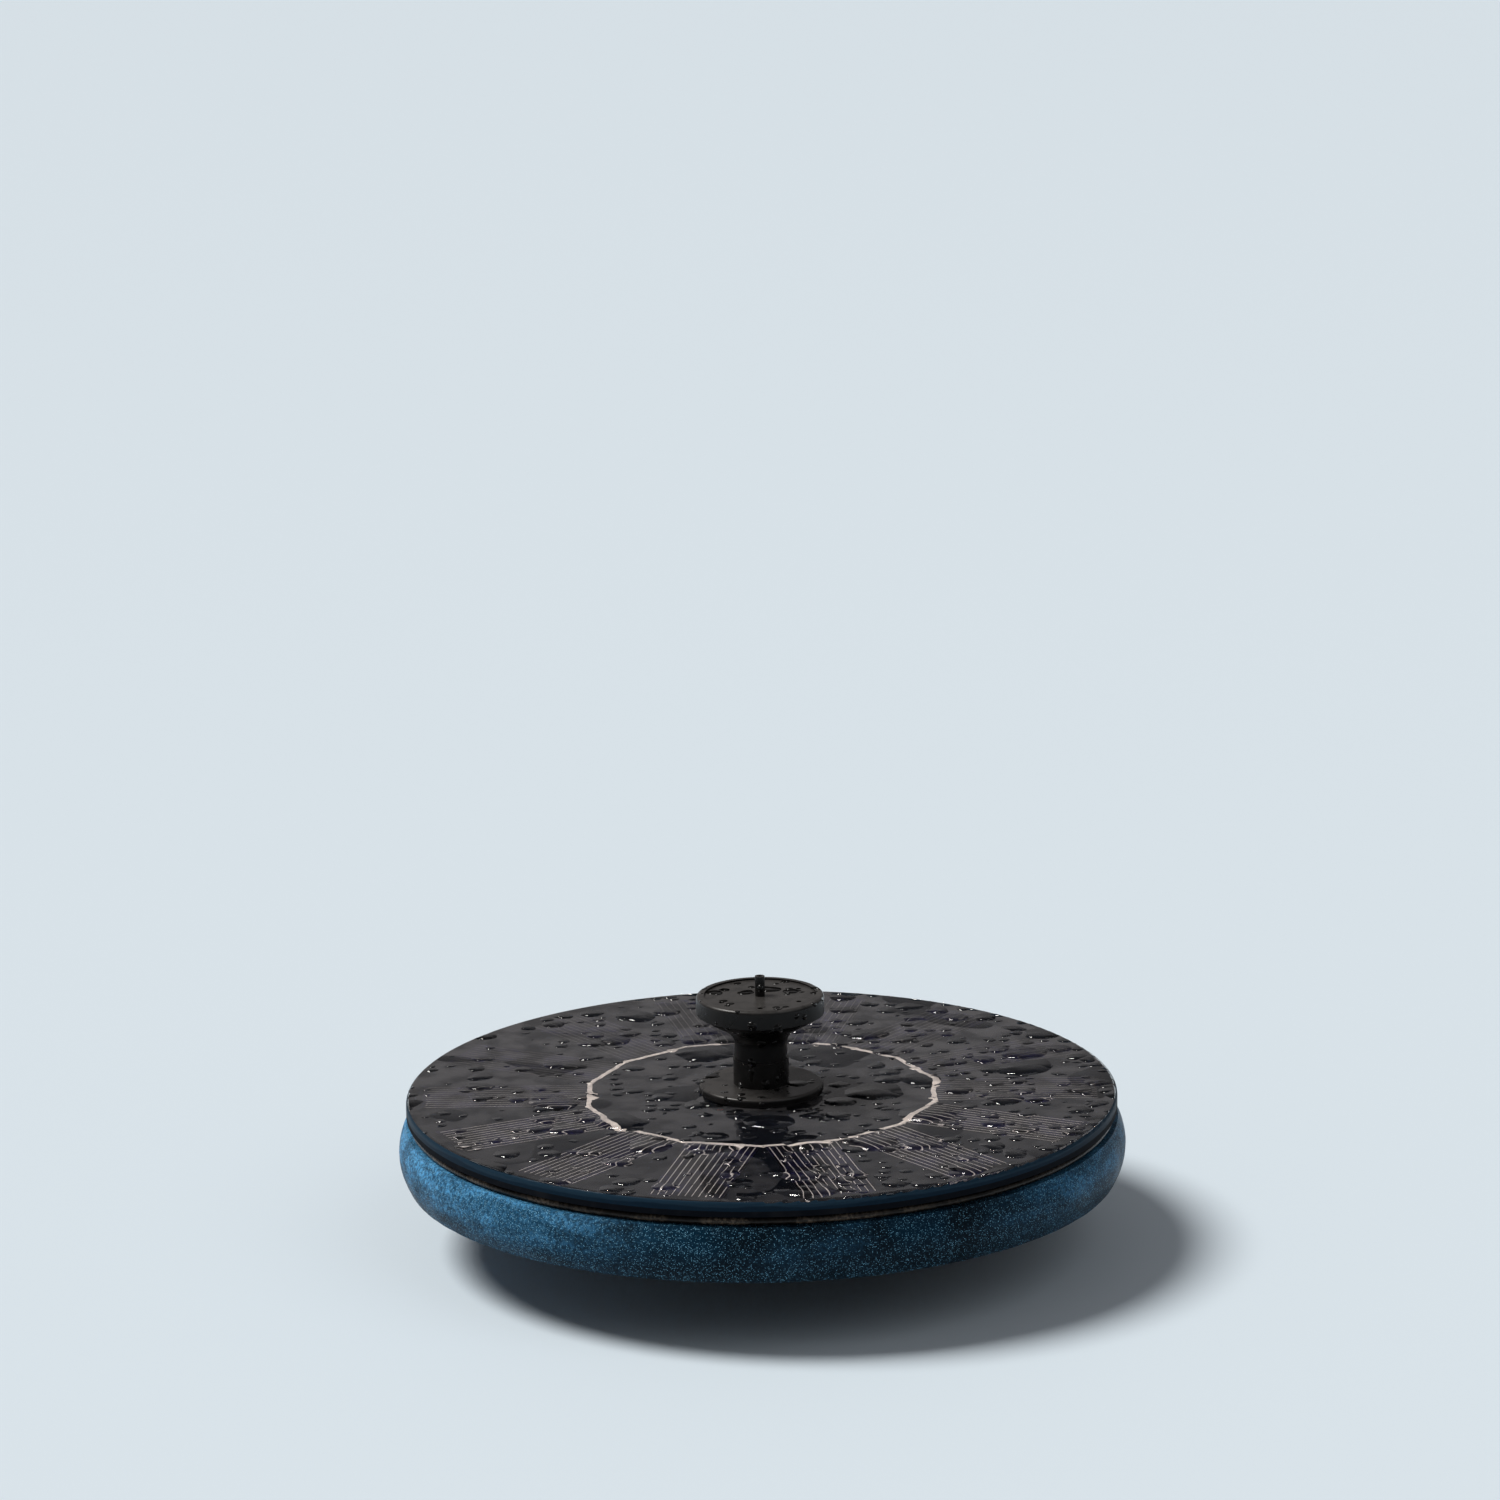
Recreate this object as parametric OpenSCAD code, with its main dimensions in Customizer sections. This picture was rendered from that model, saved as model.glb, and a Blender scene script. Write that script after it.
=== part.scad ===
// Floating solar fountain pump.
// A round solar panel lies on a moulded tray and a ring of closed-cell foam. A small magnet-drive
// pump hangs under its middle and pushes water up through a spigot to a push-on spray head.
// The origin is the middle of the strainer's flat underside, and +Z runs up the spray head's axis.

/* [Solar panel] */
// Radius of the panel
panel_r = 80; // [70:1:92]
// Thickness of the panel's circuit board
board_t = 1.3; // [0.9:0.1:2]
// Thickness of the clear resin over the cells
resin_t = 2.2; // [1.6:0.1:3]
// Radius of the resin's softened top edge
resin_edge = 0.9; // [0.5:0.1:1.2]
// Number of cells in series
cell_count = 14; // [10:1:18]
// Distance from the axis to the inner edge of the cells
cell_in = 38; // [32:1:46]
// Bare margin between the ends of the cells and the panel's rim
cell_margin = 3.7; // [3:0.1:6]
// Gap between neighbouring cells at their inner edge
cell_gap = 0.8; // [0.4:0.1:1.5]
// Thickness of one cell
cell_t = 0.25; // [0.2:0.01:0.3]
// Number of printed silver lines on one cell
finger_count = 11; // [7:1:13]
// Width of one printed line
finger_w = 0.16; // [0.1:0.01:0.2]
// Thickness of one printed line
finger_t = 0.04; // [0.02:0.01:0.06]
// Width of the tinned ribbon that joins the cells
ribbon_w = 1.5; // [1.1:0.1:2]
// Thickness of the ribbon
ribbon_t = 0.2; // [0.12:0.01:0.24]
// Clear depth that the resin leaves over the printed lines
cell_room = 0.35; // [0.28:0.01:0.45]

/* [Float] */
// Thickness of the foam tape between panel and tray
tape_t = 0.4; // [0.3:0.1:0.8]
// Width of the tape's outer ring
tape_w = 4; // [3:0.5:6]
// Distance from the panel's rim in to the tape
tape_inset = 1.8; // [1:0.1:3]
// Thickness of the tray
tray_t = 1.6; // [1.2:0.1:2.2]
// Distance from the panel's rim in to the tray's rim
tray_inset = 0.6; // [0.3:0.1:1]
// Height of the pad under the middle of the tray
pad_h = 1.6; // [1.2:0.1:2.4]
// Thickness of the foam ring
foam_t = 13; // [10:0.5:16]
// How far the foam's crowned side stands out past its edges
foam_crown = 2; // [1:0.1:3]
// Clearance between the foam's bore and the tray's pad
foam_fit = 0.2; // [0.1:0.05:0.4]

/* [Outlet and collar] */
// Radius of the outlet bore
outlet_r = 3.2; // [2.6:0.1:3.8]
// Wall of the spigot that the spray head pushes onto
spigot_wall = 1.3; // [1:0.1:1.6]
// Length of the spigot inside the spray head
spigot_len = 8.6; // [7:0.2:10]
// Step from the spigot out to its threaded root
root_step = 0.7; // [0.5:0.1:1]
// Clearance between the threaded root and the collar
thread_fit = 0.05; // [0.03:0.01:0.1]
// Wall of the collar
collar_wall = 1; // [0.8:0.1:1.4]
// Height of the collar above its gasket
collar_h = 7.4; // [6:0.2:9]
// Radius of the collar's flange
flange_r = 14; // [12:0.5:17]
// Thickness of the collar's flange
flange_t = 1.5; // [1.2:0.1:2]
// Thickness of the gasket under the flange
gasket_t = 0.5; // [0.3:0.1:0.8]
// Clearance between the root and the holes that it passes through
hole_fit = 0.4; // [0.2:0.1:0.6]

/* [Spray head] */
// Running clearance between spigot and spray head
head_fit = 0.05; // [0.03:0.01:0.08]
// Wall of the stem
stem_wall = 1.35; // [1.1:0.05:1.7]
// Height of the spray head, from the foot of its stem to its rim
head_h = 14.7; // [13.8:0.1:17.5]
// Radius of the spray cap
cap_r = 14.4; // [13:0.2:17]
// Height of the cap's side
cap_side = 4.2; // [3.8:0.1:4.8]
// Wall of the cap's side
cap_wall = 1.2; // [1:0.1:1.5]
// Thickness of the cap's face
face_t = 1.4; // [1.1:0.1:1.7]
// Depth of the dish inside the cap's rim
dish_h = 0.4; // [0.3:0.1:0.6]
// Width of the cap's rim
rim_w = 1.8; // [1.5:0.1:2.2]
// Radius of the cap's rounded edge
cap_edge = 0.9; // [0.6:0.1:1]
// Number of spray holes in the outer circle
jet_count = 6; // [4:1:10]
// Radius of the circle of spray holes
jet_ring = 10; // [8:0.5:11]
// Radius of one spray hole
jet_r = 0.6; // [0.4:0.1:0.9]
// Outer radius of the middle jet tube
tube_r = 1.1; // [1:0.05:1.5]
// Height of the middle jet tube above the face
tube_h = 4.6; // [3:0.2:5]
// Clearance between the cap and the body's rim
cap_fit = 0.05; // [0.03:0.01:0.08]

/* [Motor] */
// Radius of the ceramic shaft
shaft_r = 1; // [0.8:0.1:1.2]
// Running clearance between shaft and rotor
shaft_fit = 0.05; // [0.03:0.01:0.08]
// Wall of the rubber bushes
bush_wall = 0.9; // [0.7:0.1:1.1]
// Length of the rubber bushes
bush_len = 1.9; // [1.5:0.1:2.3]
// Wall of the seats that hold the bushes
seat_wall = 0.9; // [0.7:0.1:1.1]
// End play between rotor and seats
end_play = 0.4; // [0.3:0.1:0.6]
// Wall of the sleeve inside the magnet
sleeve_wall = 1.25; // [1:0.05:1.5]
// Radial thickness of the magnet
magnet_wall = 3.3; // [2.8:0.1:4]
// Height of the magnet
magnet_h = 7; // [6:0.2:8.4]
// Water gap between magnet and well
water_gap = 0.7; // [0.5:0.1:0.9]
// Wall of the rotor well
well_wall = 0.8; // [0.6:0.1:1]
// Thickness of the well's closed end
well_roof = 0.9; // [0.7:0.1:1.1]
// Gap between the well and the stator's poles
pole_gap = 0.25; // [0.15:0.05:0.4]
// Thickness of a pole's face
shoe_t = 1.1; // [0.9:0.1:1.4]
// Length of a tooth between pole face and yoke
tooth_len = 4.2; // [3.8:0.1:5]
// Width of a tooth
tooth_w = 3.4; // [2.8:0.1:4]
// Radial thickness of the yoke
yoke_t = 2.35; // [1.9:0.05:2.8]
// Height of the laminated core
core_h = 5; // [4.2:0.1:5]
// Thickness of a winding
coil_t = 0.9; // [0.6:0.1:1]
// Wall of a bobbin
bobbin_t = 0.4; // [0.3:0.05:0.5]

/* [Impeller chamber] */
// Radius of the impeller
impeller_r = 12.5; // [10.5:0.5:14]
// Gap round the impeller
impeller_gap = 2.3; // [1.8:0.1:2.8]
// Number of blades
blade_count = 6; // [4:1:8]
// Height of the blades
blade_h = 2.7; // [2.2:0.1:3.2]
// Thickness of a blade
blade_t = 1; // [0.8:0.1:1.4]
// Thickness of the impeller's disc
disc_t = 1.1; // [0.9:0.1:1.4]
// Gap under the blades
blade_gap = 0.6; // [0.4:0.1:0.8]
// Gap over the impeller's disc
disc_gap = 0.4; // [0.3:0.1:0.5]
// Height of the passage from the chamber to the riser
passage_h = 3.2; // [2.6:0.1:3.4]
// Width of the passage
passage_w = 4.4; // [3.6:0.1:5]
// Radius of the inlet eye
eye_r = 5.6; // [5.2:0.1:6.8]
// Thickness of the chamber's cover
cover_t = 1.6; // [1.3:0.1:2]
// Width of the land that holds the seal
seal_land = 2.7; // [2.3:0.1:3.2]
// Width of the land that holds the screws
screw_land = 4; // [3.4:0.1:4.8]

/* [Pump can] */
// Radius of the riser's bore
riser_r = 2.6; // [2.2:0.1:3]
// Wall of the riser
riser_wall = 1; // [0.8:0.1:1.2]
// Gap between the stator and the riser
riser_gap = 0.7; // [0.5:0.1:1]
// Gap between the riser and the can's wall
can_gap = 0.6; // [0.3:0.1:0.9]
// Wall of the can
can_wall = 1.5; // [1.2:0.1:1.8]
// Step from the can's side in to the impeller chamber
can_step = 3.5; // [2.9:0.1:3.9]
// Thickness of the partition over the impeller
partition_t = 1.4; // [1.1:0.1:1.7]
// Radius of the duct that leads to the outlet
duct_r = 2.4; // [2:0.1:2.8]
// Wall under and beside the duct
duct_wall = 1; // [0.8:0.1:1.2]
// Wall over the duct
duct_roof = 0.7; // [0.5:0.1:0.9]
// Thickness of the lid
lid_t = 1.6; // [1.3:0.1:1.9]
// Width of the lid's flange outside the can
lid_flange = 3.5; // [3.3:0.1:3.7]

/* [Strainer] */
// Running clearance between strainer and can
strainer_fit = 0.15; // [0.1:0.01:0.2]
// Wall of the strainer
strainer_wall = 1.5; // [1.2:0.1:1.8]
// Thickness of the strainer's floor
floor_t = 1.6; // [1.3:0.1:2]
// Free height under the chamber's cover
plenum_h = 3.4; // [2.8:0.1:3.9]
// How far the strainer laps over the can
lap_h = 4.2; // [3.4:0.1:4.8]
// Number of slots in the side
side_slots = 32; // [24:1:36]
// Number of slots in the floor
floor_slots = 20; // [12:1:24]
// Width of the slots
slot_w = 1.7; // [1.3:0.1:2]
// Number of ribs that stop the strainer against the can
rib_count = 8; // [4:1:8]

/* [Electronics] */
// Thickness of the driver board
driver_t = 1; // [0.8:0.1:1.6]
// Room between the potting and the driver board
driver_gap = 0.65; // [0.4:0.05:0.9]
// Thickness of the potting over the windings
potting_t = 0.6; // [0.4:0.05:0.7]
// Radius of one lead
lead_r = 0.65; // [0.5:0.05:0.8]
// Distance between the two leads
lead_pitch = 6; // [5.2:0.2:8]
// Radius of one winding wire's end
wire_r = 0.35; // [0.25:0.05:0.45]

/* [Hidden] */
$fn = 96;
overrun = 0.5;       // how far a cut runs past the face that it opens
touch_fit = 0.05;    // clearance of a piece that is pushed or bonded into place

// Screws
screw_r = 0.95;
screw_head_r = 1.5;
screw_head_h = 1.1;
screw_bite = 2.7;
cross_w = 0.5;
cross_depth = 0.6;
screw_clear = 0.15;
lid_screws_n = 4;
cover_screws_n = 3;
lid_screw_angle = 5;
cover_screw_angle = 80;

// Seals
seal_r = 0.45;
groove_side = 0.2;   // room beside a seal in its groove

// Motor radii, from the shaft outwards
bush_r = shaft_r + bush_wall;
seat_r = bush_r + seat_wall;
sleeve_r = shaft_r + shaft_fit + sleeve_wall;
magnet_r = sleeve_r + magnet_wall;
well_r = magnet_r + water_gap;
well_out_r = well_r + well_wall;
pole_r = well_out_r + pole_gap;
shoe_r = pole_r + shoe_t;
yoke_in_r = shoe_r + tooth_len;
core_r = yoke_in_r + yoke_t;
pole_count = 4;
shoe_angle = 66;

// Arms that carry the lower bush across the inlet eye
eye_arms = 3;
eye_arm_w = 1.4;

// Can radii
riser_out_r = riser_r + riser_wall;
riser_d = core_r + riser_gap + riser_out_r;
chamber_r = impeller_r + impeller_gap;
volute_r = chamber_r + seal_land + screw_land;
can_in_r = max(riser_d + riser_out_r + can_gap, volute_r + can_step - can_wall);
can_r = can_in_r + can_wall;
pad_r = can_r + lid_flange;
foam_in_r = pad_r + foam_fit;
duct_out_r = duct_r + duct_wall;
passage_inset = 0.6; // how far the passage's outer side lies inside the chamber's rim
passage_y = chamber_r - passage_inset - passage_w;
riser_turn = asin((passage_y + passage_w / 2) / riser_d);

// Outlet radii
spigot_r = outlet_r + spigot_wall;
root_r = spigot_r + root_step;
hole_r = root_r + hole_fit;
collar_r = root_r + thread_fit + collar_wall;
stem_in_r = spigot_r + head_fit;
stem_r = stem_in_r + stem_wall;

// Heights, from the strainer's underside upwards
cover_z = floor_t + plenum_h;
chamber_z = cover_z + cover_t;
blade_z = chamber_z + blade_gap;
disc_z = blade_z + blade_h;
disc_top_z = disc_z + disc_t;
partition_z = disc_top_z + disc_gap;
cavity_z = partition_z + partition_t;
hub_drop = blade_h / 2;
hub_z = disc_z - hub_drop;
lower_seat_z = hub_z - end_play;
magnet_top_z = disc_top_z + magnet_h;
upper_seat_z = magnet_top_z + end_play;
well_top_z = upper_seat_z + bush_len;
roof_top_z = well_top_z + well_roof;

// Windings
winding = touch_fit + bobbin_t + coil_t;      // build of a winding on each face of its tooth
coil_w = tooth_w + 2 * winding;
coil_h = core_h + 2 * winding;
coil_z = cavity_z + touch_fit;
core_z = coil_z + winding;
coil_top_z = coil_z + coil_h;
potting_z = coil_top_z + touch_fit;
driver_z = potting_z + potting_t + driver_gap;

// Lid, tray, panel
duct_gap = 0.2;      // gap between the duct and what lies under it
elbow_lift = 0.3;    // how far the outlet's flat floor lies over the duct's lowest line
duct_bottom_z = max(roof_top_z, potting_z + potting_t) + duct_gap;
duct_z = duct_bottom_z + duct_out_r;
lid_top_z = duct_z + duct_r + duct_roof;
lid_z = lid_top_z - lid_t;
tray_z = lid_top_z + pad_h;
tray_top_z = tray_z + tray_t;
board_z = tray_top_z + tape_t;
board_top_z = board_z + board_t;
cell_top_z = board_top_z + cell_t;
panel_top_z = board_top_z + resin_t;
foam_z = tray_z - foam_t;
riser_seal_t = 0.6;
riser_top_z = duct_bottom_z - duct_gap;

// Outlet and spray head
collar_z = panel_top_z + gasket_t;
head_z = collar_z + collar_h;
spigot_top_z = head_z + spigot_len;
head_top_z = head_z + head_h;
cap_z = head_top_z - cap_side;
face_z = head_top_z - dish_h - face_t;
face_top_z = face_z + face_t;
body_rim_h = (face_z - cap_z) / 2;
body_rim_r = cap_r - cap_wall - cap_fit;

// Spray body's outline
neck_share = 0.2;     // straight stem under the funnel, as a share of the head's height
flare_bend = 1.4;     // how late the funnel opens
flare_steps = 14;     // straight pieces of the funnel's curved side

// Panel radii
tray_r = panel_r - tray_inset;
cell_out = panel_r - cell_margin;
cell_w = 2 * cell_in * tan(180 / cell_count) - cell_gap;
recess_wall = 2.6;   // solid rim of resin outside the cells
recess_r = panel_r - recess_wall;
recess_in_r = flange_r + recess_wall;
tray_bead_r = tray_t / 2;
ribbon_break = 0.35; // gap between neighbouring ribbons
string_gap = 2.6;    // wider gap where the string of cells begins and ends
string_at = 6;       // ribbon that the string ends at, counted from the front
finger_inset = 0.9;

// Strainer
strainer_in_r = can_r + strainer_fit;
strainer_r = strainer_in_r + strainer_wall;
strainer_top_z = partition_z + lap_h;
rib_gap = 0.2;       // gap between the ribs' tops and the can
rib_w = 1.6;
rib_depth = can_wall + strainer_fit;
strainer_edge = 0.7;
slot_foot = 1.1;     // solid band under and over the side slots
floor_hub_r = 9;
slot_end_gap = 3.2;

// Board furniture
driver_fit = 0.3;
driver_cut = root_r;
post_r = 1.2;
post_d = can_in_r - 3 * post_r;
post_angle = 48;
lead_x = (driver_cut + can_in_r) / 2;
lead_hole_fit = 0.4;
grommet_r = lead_r + lead_hole_fit + lead_hole_fit;
grommet_lip = 0.6;
grommet_lip_h = 0.8;
chip_size = [4, 5, 1.5];
hall_size = [2, 3, 1.1];
resistor_size = [1, 2, 0.5];
resistor_count = 3;
capacitor_r = 1.8;
capacitor_h = 2.4;

// Shared shapes

module ring(out_r, in_r, h) {
    difference() {
        cylinder(r = out_r, h = h);
        translate([0, 0, -overrun]) cylinder(r = in_r, h = h + 2 * overrun);
    }
}

module around(count, turn = 0) {
    for (i = [0 : count - 1])
        rotate([0, 0, turn + i * 360 / count]) children();
}

// Half of a disc's section, with its top outer edge rounded
module disc_section(r, h, edge) {
    square([r - edge, h]);
    square([r, h - edge]);
    translate([r - edge, h - edge]) circle(r = edge);
}

module o_ring(r, z) {
    translate([0, 0, z])
        rotate_extrude() translate([r, 0]) circle(r = seal_r, $fn = 32);
}

// A screw that points up, with the underside of its head at z = 0
module screw(length) {
    difference() {
        union() {
            cylinder(r = screw_r, h = length, $fn = 32);
            translate([0, 0, -screw_head_h]) cylinder(r = screw_head_r, h = screw_head_h, $fn = 32);
        }
        for (turn = [0, 90])
            rotate([0, 0, turn])
                translate([-screw_r, -cross_w / 2, -screw_head_h - overrun])
                    cube([2 * screw_r, cross_w, cross_depth + overrun]);
    }
}

// Solar panel

module resin_cover() {
    color([0.05, 0.06, 0.09, 0.5])
        difference() {
            translate([0, 0, board_top_z])
                rotate_extrude() disc_section(panel_r, resin_t, resin_edge);
            translate([0, 0, board_top_z - overrun])
                cylinder(r = hole_r, h = resin_t + 2 * overrun);
            translate([0, 0, board_top_z - overrun])
                ring(recess_r, recess_in_r, overrun + cell_t + finger_t + cell_room);
        }
}

module cell_fingers() {
    pitch = cell_w / finger_count;
    color("silver")
        around(cell_count, 270 + 180 / cell_count)
            for (i = [0 : finger_count - 1])
                translate([cell_in + ribbon_w, (i - (finger_count - 1) / 2) * pitch - finger_w / 2,
                           cell_top_z])
                    cube([cell_out - finger_inset - cell_in - ribbon_w, finger_w, finger_t]);
}

module bus_ribbon() {
    side = 2 * cell_in * tan(180 / cell_count);
    color("silver")
        for (i = [0 : cell_count - 1])
            rotate([0, 0, 270 + (i + 1 / 2) * 360 / cell_count])
                translate([cell_in, -side / 2 + ribbon_break / 2, cell_top_z])
                    cube([ribbon_w, side - (i == string_at ? string_gap : ribbon_break), ribbon_t]);
}

module solar_cells() {
    color([0.04, 0.05, 0.11])
        around(cell_count, 270 + 180 / cell_count)
            translate([cell_in, -cell_w / 2, board_top_z])
                cube([cell_out - cell_in, cell_w, cell_t]);
}

module panel_board() {
    color([0.03, 0.03, 0.035])
        translate([0, 0, board_z]) ring(panel_r, hole_r, board_t);
}

module panel_tape() {
    color([0.08, 0.08, 0.08])
        difference() {
            translate([0, 0, tray_top_z]) {
                ring(panel_r - tape_inset, panel_r - tape_inset - tape_w, tape_t);
                ring(flange_r + tape_w, flange_r, tape_t);
            }
            at_leads(tray_top_z - overrun)
                cylinder(r = lead_r + lead_hole_fit, h = tape_t + 2 * overrun, $fn = 32);
        }
}

// Float

module float_tray() {
    color([0.05, 0.045, 0.04])
        difference() {
            union() {
                translate([0, 0, tray_z])
                    rotate_extrude() {
                        square([tray_r - tray_bead_r, tray_t]);
                        translate([tray_r - tray_bead_r, tray_bead_r]) circle(r = tray_bead_r);
                    }
                translate([0, 0, tray_z - pad_h]) cylinder(r = pad_r, h = pad_h + tray_bead_r);
            }
            translate([0, 0, tray_z - pad_h - overrun])
                cylinder(r = hole_r, h = pad_h + tray_t + 2 * overrun);
            at_leads(tray_z - pad_h - overrun)
                cylinder(r = lead_r + lead_hole_fit, h = pad_h + tray_t + 2 * overrun, $fn = 32);
            at_lid_screws(tray_z - pad_h - overrun)
                cylinder(r = screw_r, h = screw_bite + screw_clear + overrun, $fn = 32);
        }
}

module foam_ring() {
    crown_r = foam_t * foam_t / (8 * foam_crown) + foam_crown / 2;
    foam_out_r = panel_r + foam_crown;
    color([0.07, 0.08, 0.09])
        translate([0, 0, foam_z])
            difference() {
                rotate_extrude() {
                    square([foam_out_r - foam_crown, foam_t]);
                    intersection() {
                        translate([foam_out_r - crown_r, foam_t / 2]) circle(r = crown_r);
                        translate([foam_in_r, 0]) square([foam_out_r - foam_in_r, foam_t]);
                    }
                }
                translate([0, 0, -overrun]) cylinder(r = foam_in_r, h = foam_t + 2 * overrun);
            }
}

// Outlet and spray head

module retaining_collar() {
    color([0.06, 0.06, 0.06])
        translate([0, 0, collar_z])
            difference() {
                union() {
                    rotate_extrude() disc_section(flange_r, flange_t, flange_t / 2);
                    cylinder(r = collar_r, h = collar_h);
                }
                translate([0, 0, -overrun])
                    cylinder(r = root_r + thread_fit, h = collar_h + 2 * overrun);
            }
}

module collar_gasket() {
    color([0.1, 0.1, 0.1])
        translate([0, 0, panel_top_z]) ring(flange_r - gasket_t, hole_r, gasket_t);
}

// How wide the funnel is at a share of its height: 0 at the neck and 1 under the cap
function flare(height_share) = (1 - cos(180 * pow(height_share, flare_bend))) / 2;

module spray_body() {
    neck_h = head_h * neck_share;
    funnel_h = cap_z - head_z - neck_h;
    funnel_w = body_rim_r - stem_r;
    ledge_r = body_rim_r - 2 * seal_r - 2 * touch_fit;
    color([0.05, 0.05, 0.05])
        difference() {
            union() {
                translate([0, 0, head_z])
                    rotate_extrude()
                        polygon(concat(
                            [[0, 0], [stem_r, 0]],
                            [for (i = [0 : flare_steps])
                                [stem_r + flare(i / flare_steps) * funnel_w,
                                 neck_h + i / flare_steps * funnel_h]],
                            [[0, neck_h + funnel_h]]));
                translate([0, 0, cap_z]) cylinder(r = body_rim_r, h = body_rim_h);
            }
            translate([0, 0, head_z - overrun])
                cylinder(r = stem_in_r, h = spigot_len + head_fit + overrun);
            translate([0, 0, head_z])
                cylinder(r = outlet_r, h = head_h);
            translate([0, 0, cap_z]) cylinder(r = ledge_r - cap_wall, h = head_h);
            translate([0, 0, cap_z + body_rim_h - 2 * seal_r])
                ring(cap_r, ledge_r, 2 * seal_r + overrun);
        }
}

module spray_cap() {
    color([0.07, 0.065, 0.06])
        difference() {
            union() {
                translate([0, 0, cap_z])
                    difference() {
                        rotate_extrude() disc_section(cap_r, cap_side, cap_edge);
                        translate([0, 0, cap_side - dish_h])
                            cylinder(r = cap_r - rim_w, h = dish_h + overrun);
                    }
                translate([0, 0, face_z]) cylinder(r = tube_r, h = face_t + tube_h, $fn = 48);
            }
            translate([0, 0, cap_z - overrun])
                cylinder(r = cap_r - cap_wall, h = face_z - cap_z + overrun);
            translate([0, 0, face_z - overrun])
                cylinder(r = jet_r, h = face_t + tube_h + 2 * overrun, $fn = 32);
            around(jet_count, 180 / jet_count)
                translate([jet_ring, 0, face_z - overrun])
                    cylinder(r = jet_r, h = face_t + 2 * overrun, $fn = 32);
        }
}

module cap_seal() {
    color([0.12, 0.12, 0.12])
        o_ring(body_rim_r - seal_r - touch_fit, cap_z + body_rim_h - seal_r);
}

// Pump can and its lid

module at_riser() {
    rotate([0, 0, riser_turn]) translate([riser_d, 0, 0]) children();
}

module at_posts(z) {
    for (side = [-1, 1])
        rotate([0, 0, riser_turn + 180 + side * post_angle])
            translate([post_d, 0, z]) children();
}

module at_leads(z) {
    rotate([0, 0, riser_turn + 180])
        for (side = [-1, 1])
            translate([lead_x, side * lead_pitch / 2, z]) children();
}

module at_lid_screws(z) {
    around(lid_screws_n, riser_turn + lid_screw_angle)
        translate([can_r + lid_flange / 2, 0, z]) children();
}

module at_cover_screws(z) {
    around(cover_screws_n, riser_turn + cover_screw_angle)
        translate([volute_r - screw_land / 2, 0, z]) children();
}

module pump_can() {
    color([0.09, 0.09, 0.09])
        difference() {
            union() {
                translate([0, 0, chamber_z]) cylinder(r = volute_r, h = partition_z - chamber_z);
                translate([0, 0, partition_z])
                    difference() {
                        cylinder(r = can_r, h = lid_z - partition_z);
                        translate([0, 0, partition_t])
                            cylinder(r = can_in_r, h = lid_z - partition_z);
                    }
                translate([0, 0, partition_z])
                    cylinder(r = well_out_r, h = roof_top_z - partition_z);
                at_riser()
                    translate([0, 0, chamber_z])
                        cylinder(r = riser_out_r, h = riser_top_z - riser_seal_t - chamber_z);
                at_posts(partition_z) cylinder(r = post_r, h = driver_z - partition_z, $fn = 32);
            }
            translate([0, 0, chamber_z - overrun])
                cylinder(r = chamber_r, h = partition_z - chamber_z + overrun);
            difference() {
                translate([0, 0, chamber_z - overrun])
                    cylinder(r = well_r, h = well_top_z - chamber_z + overrun);
                translate([0, 0, upper_seat_z]) cylinder(r = seat_r, h = bush_len + overrun);
            }
            translate([0, 0, upper_seat_z - overrun]) cylinder(r = bush_r, h = bush_len + overrun);
            translate([0, passage_y, partition_z - passage_h])
                cube([riser_d * cos(riser_turn), passage_w, passage_h]);
            at_riser()
                translate([0, 0, partition_z - passage_h])
                    cylinder(r = riser_r, h = riser_top_z - partition_z + passage_h + overrun);
            at_cover_screws(chamber_z - overrun)
                cylinder(r = screw_r, h = screw_bite + screw_clear + overrun, $fn = 32);
        }
}

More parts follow.
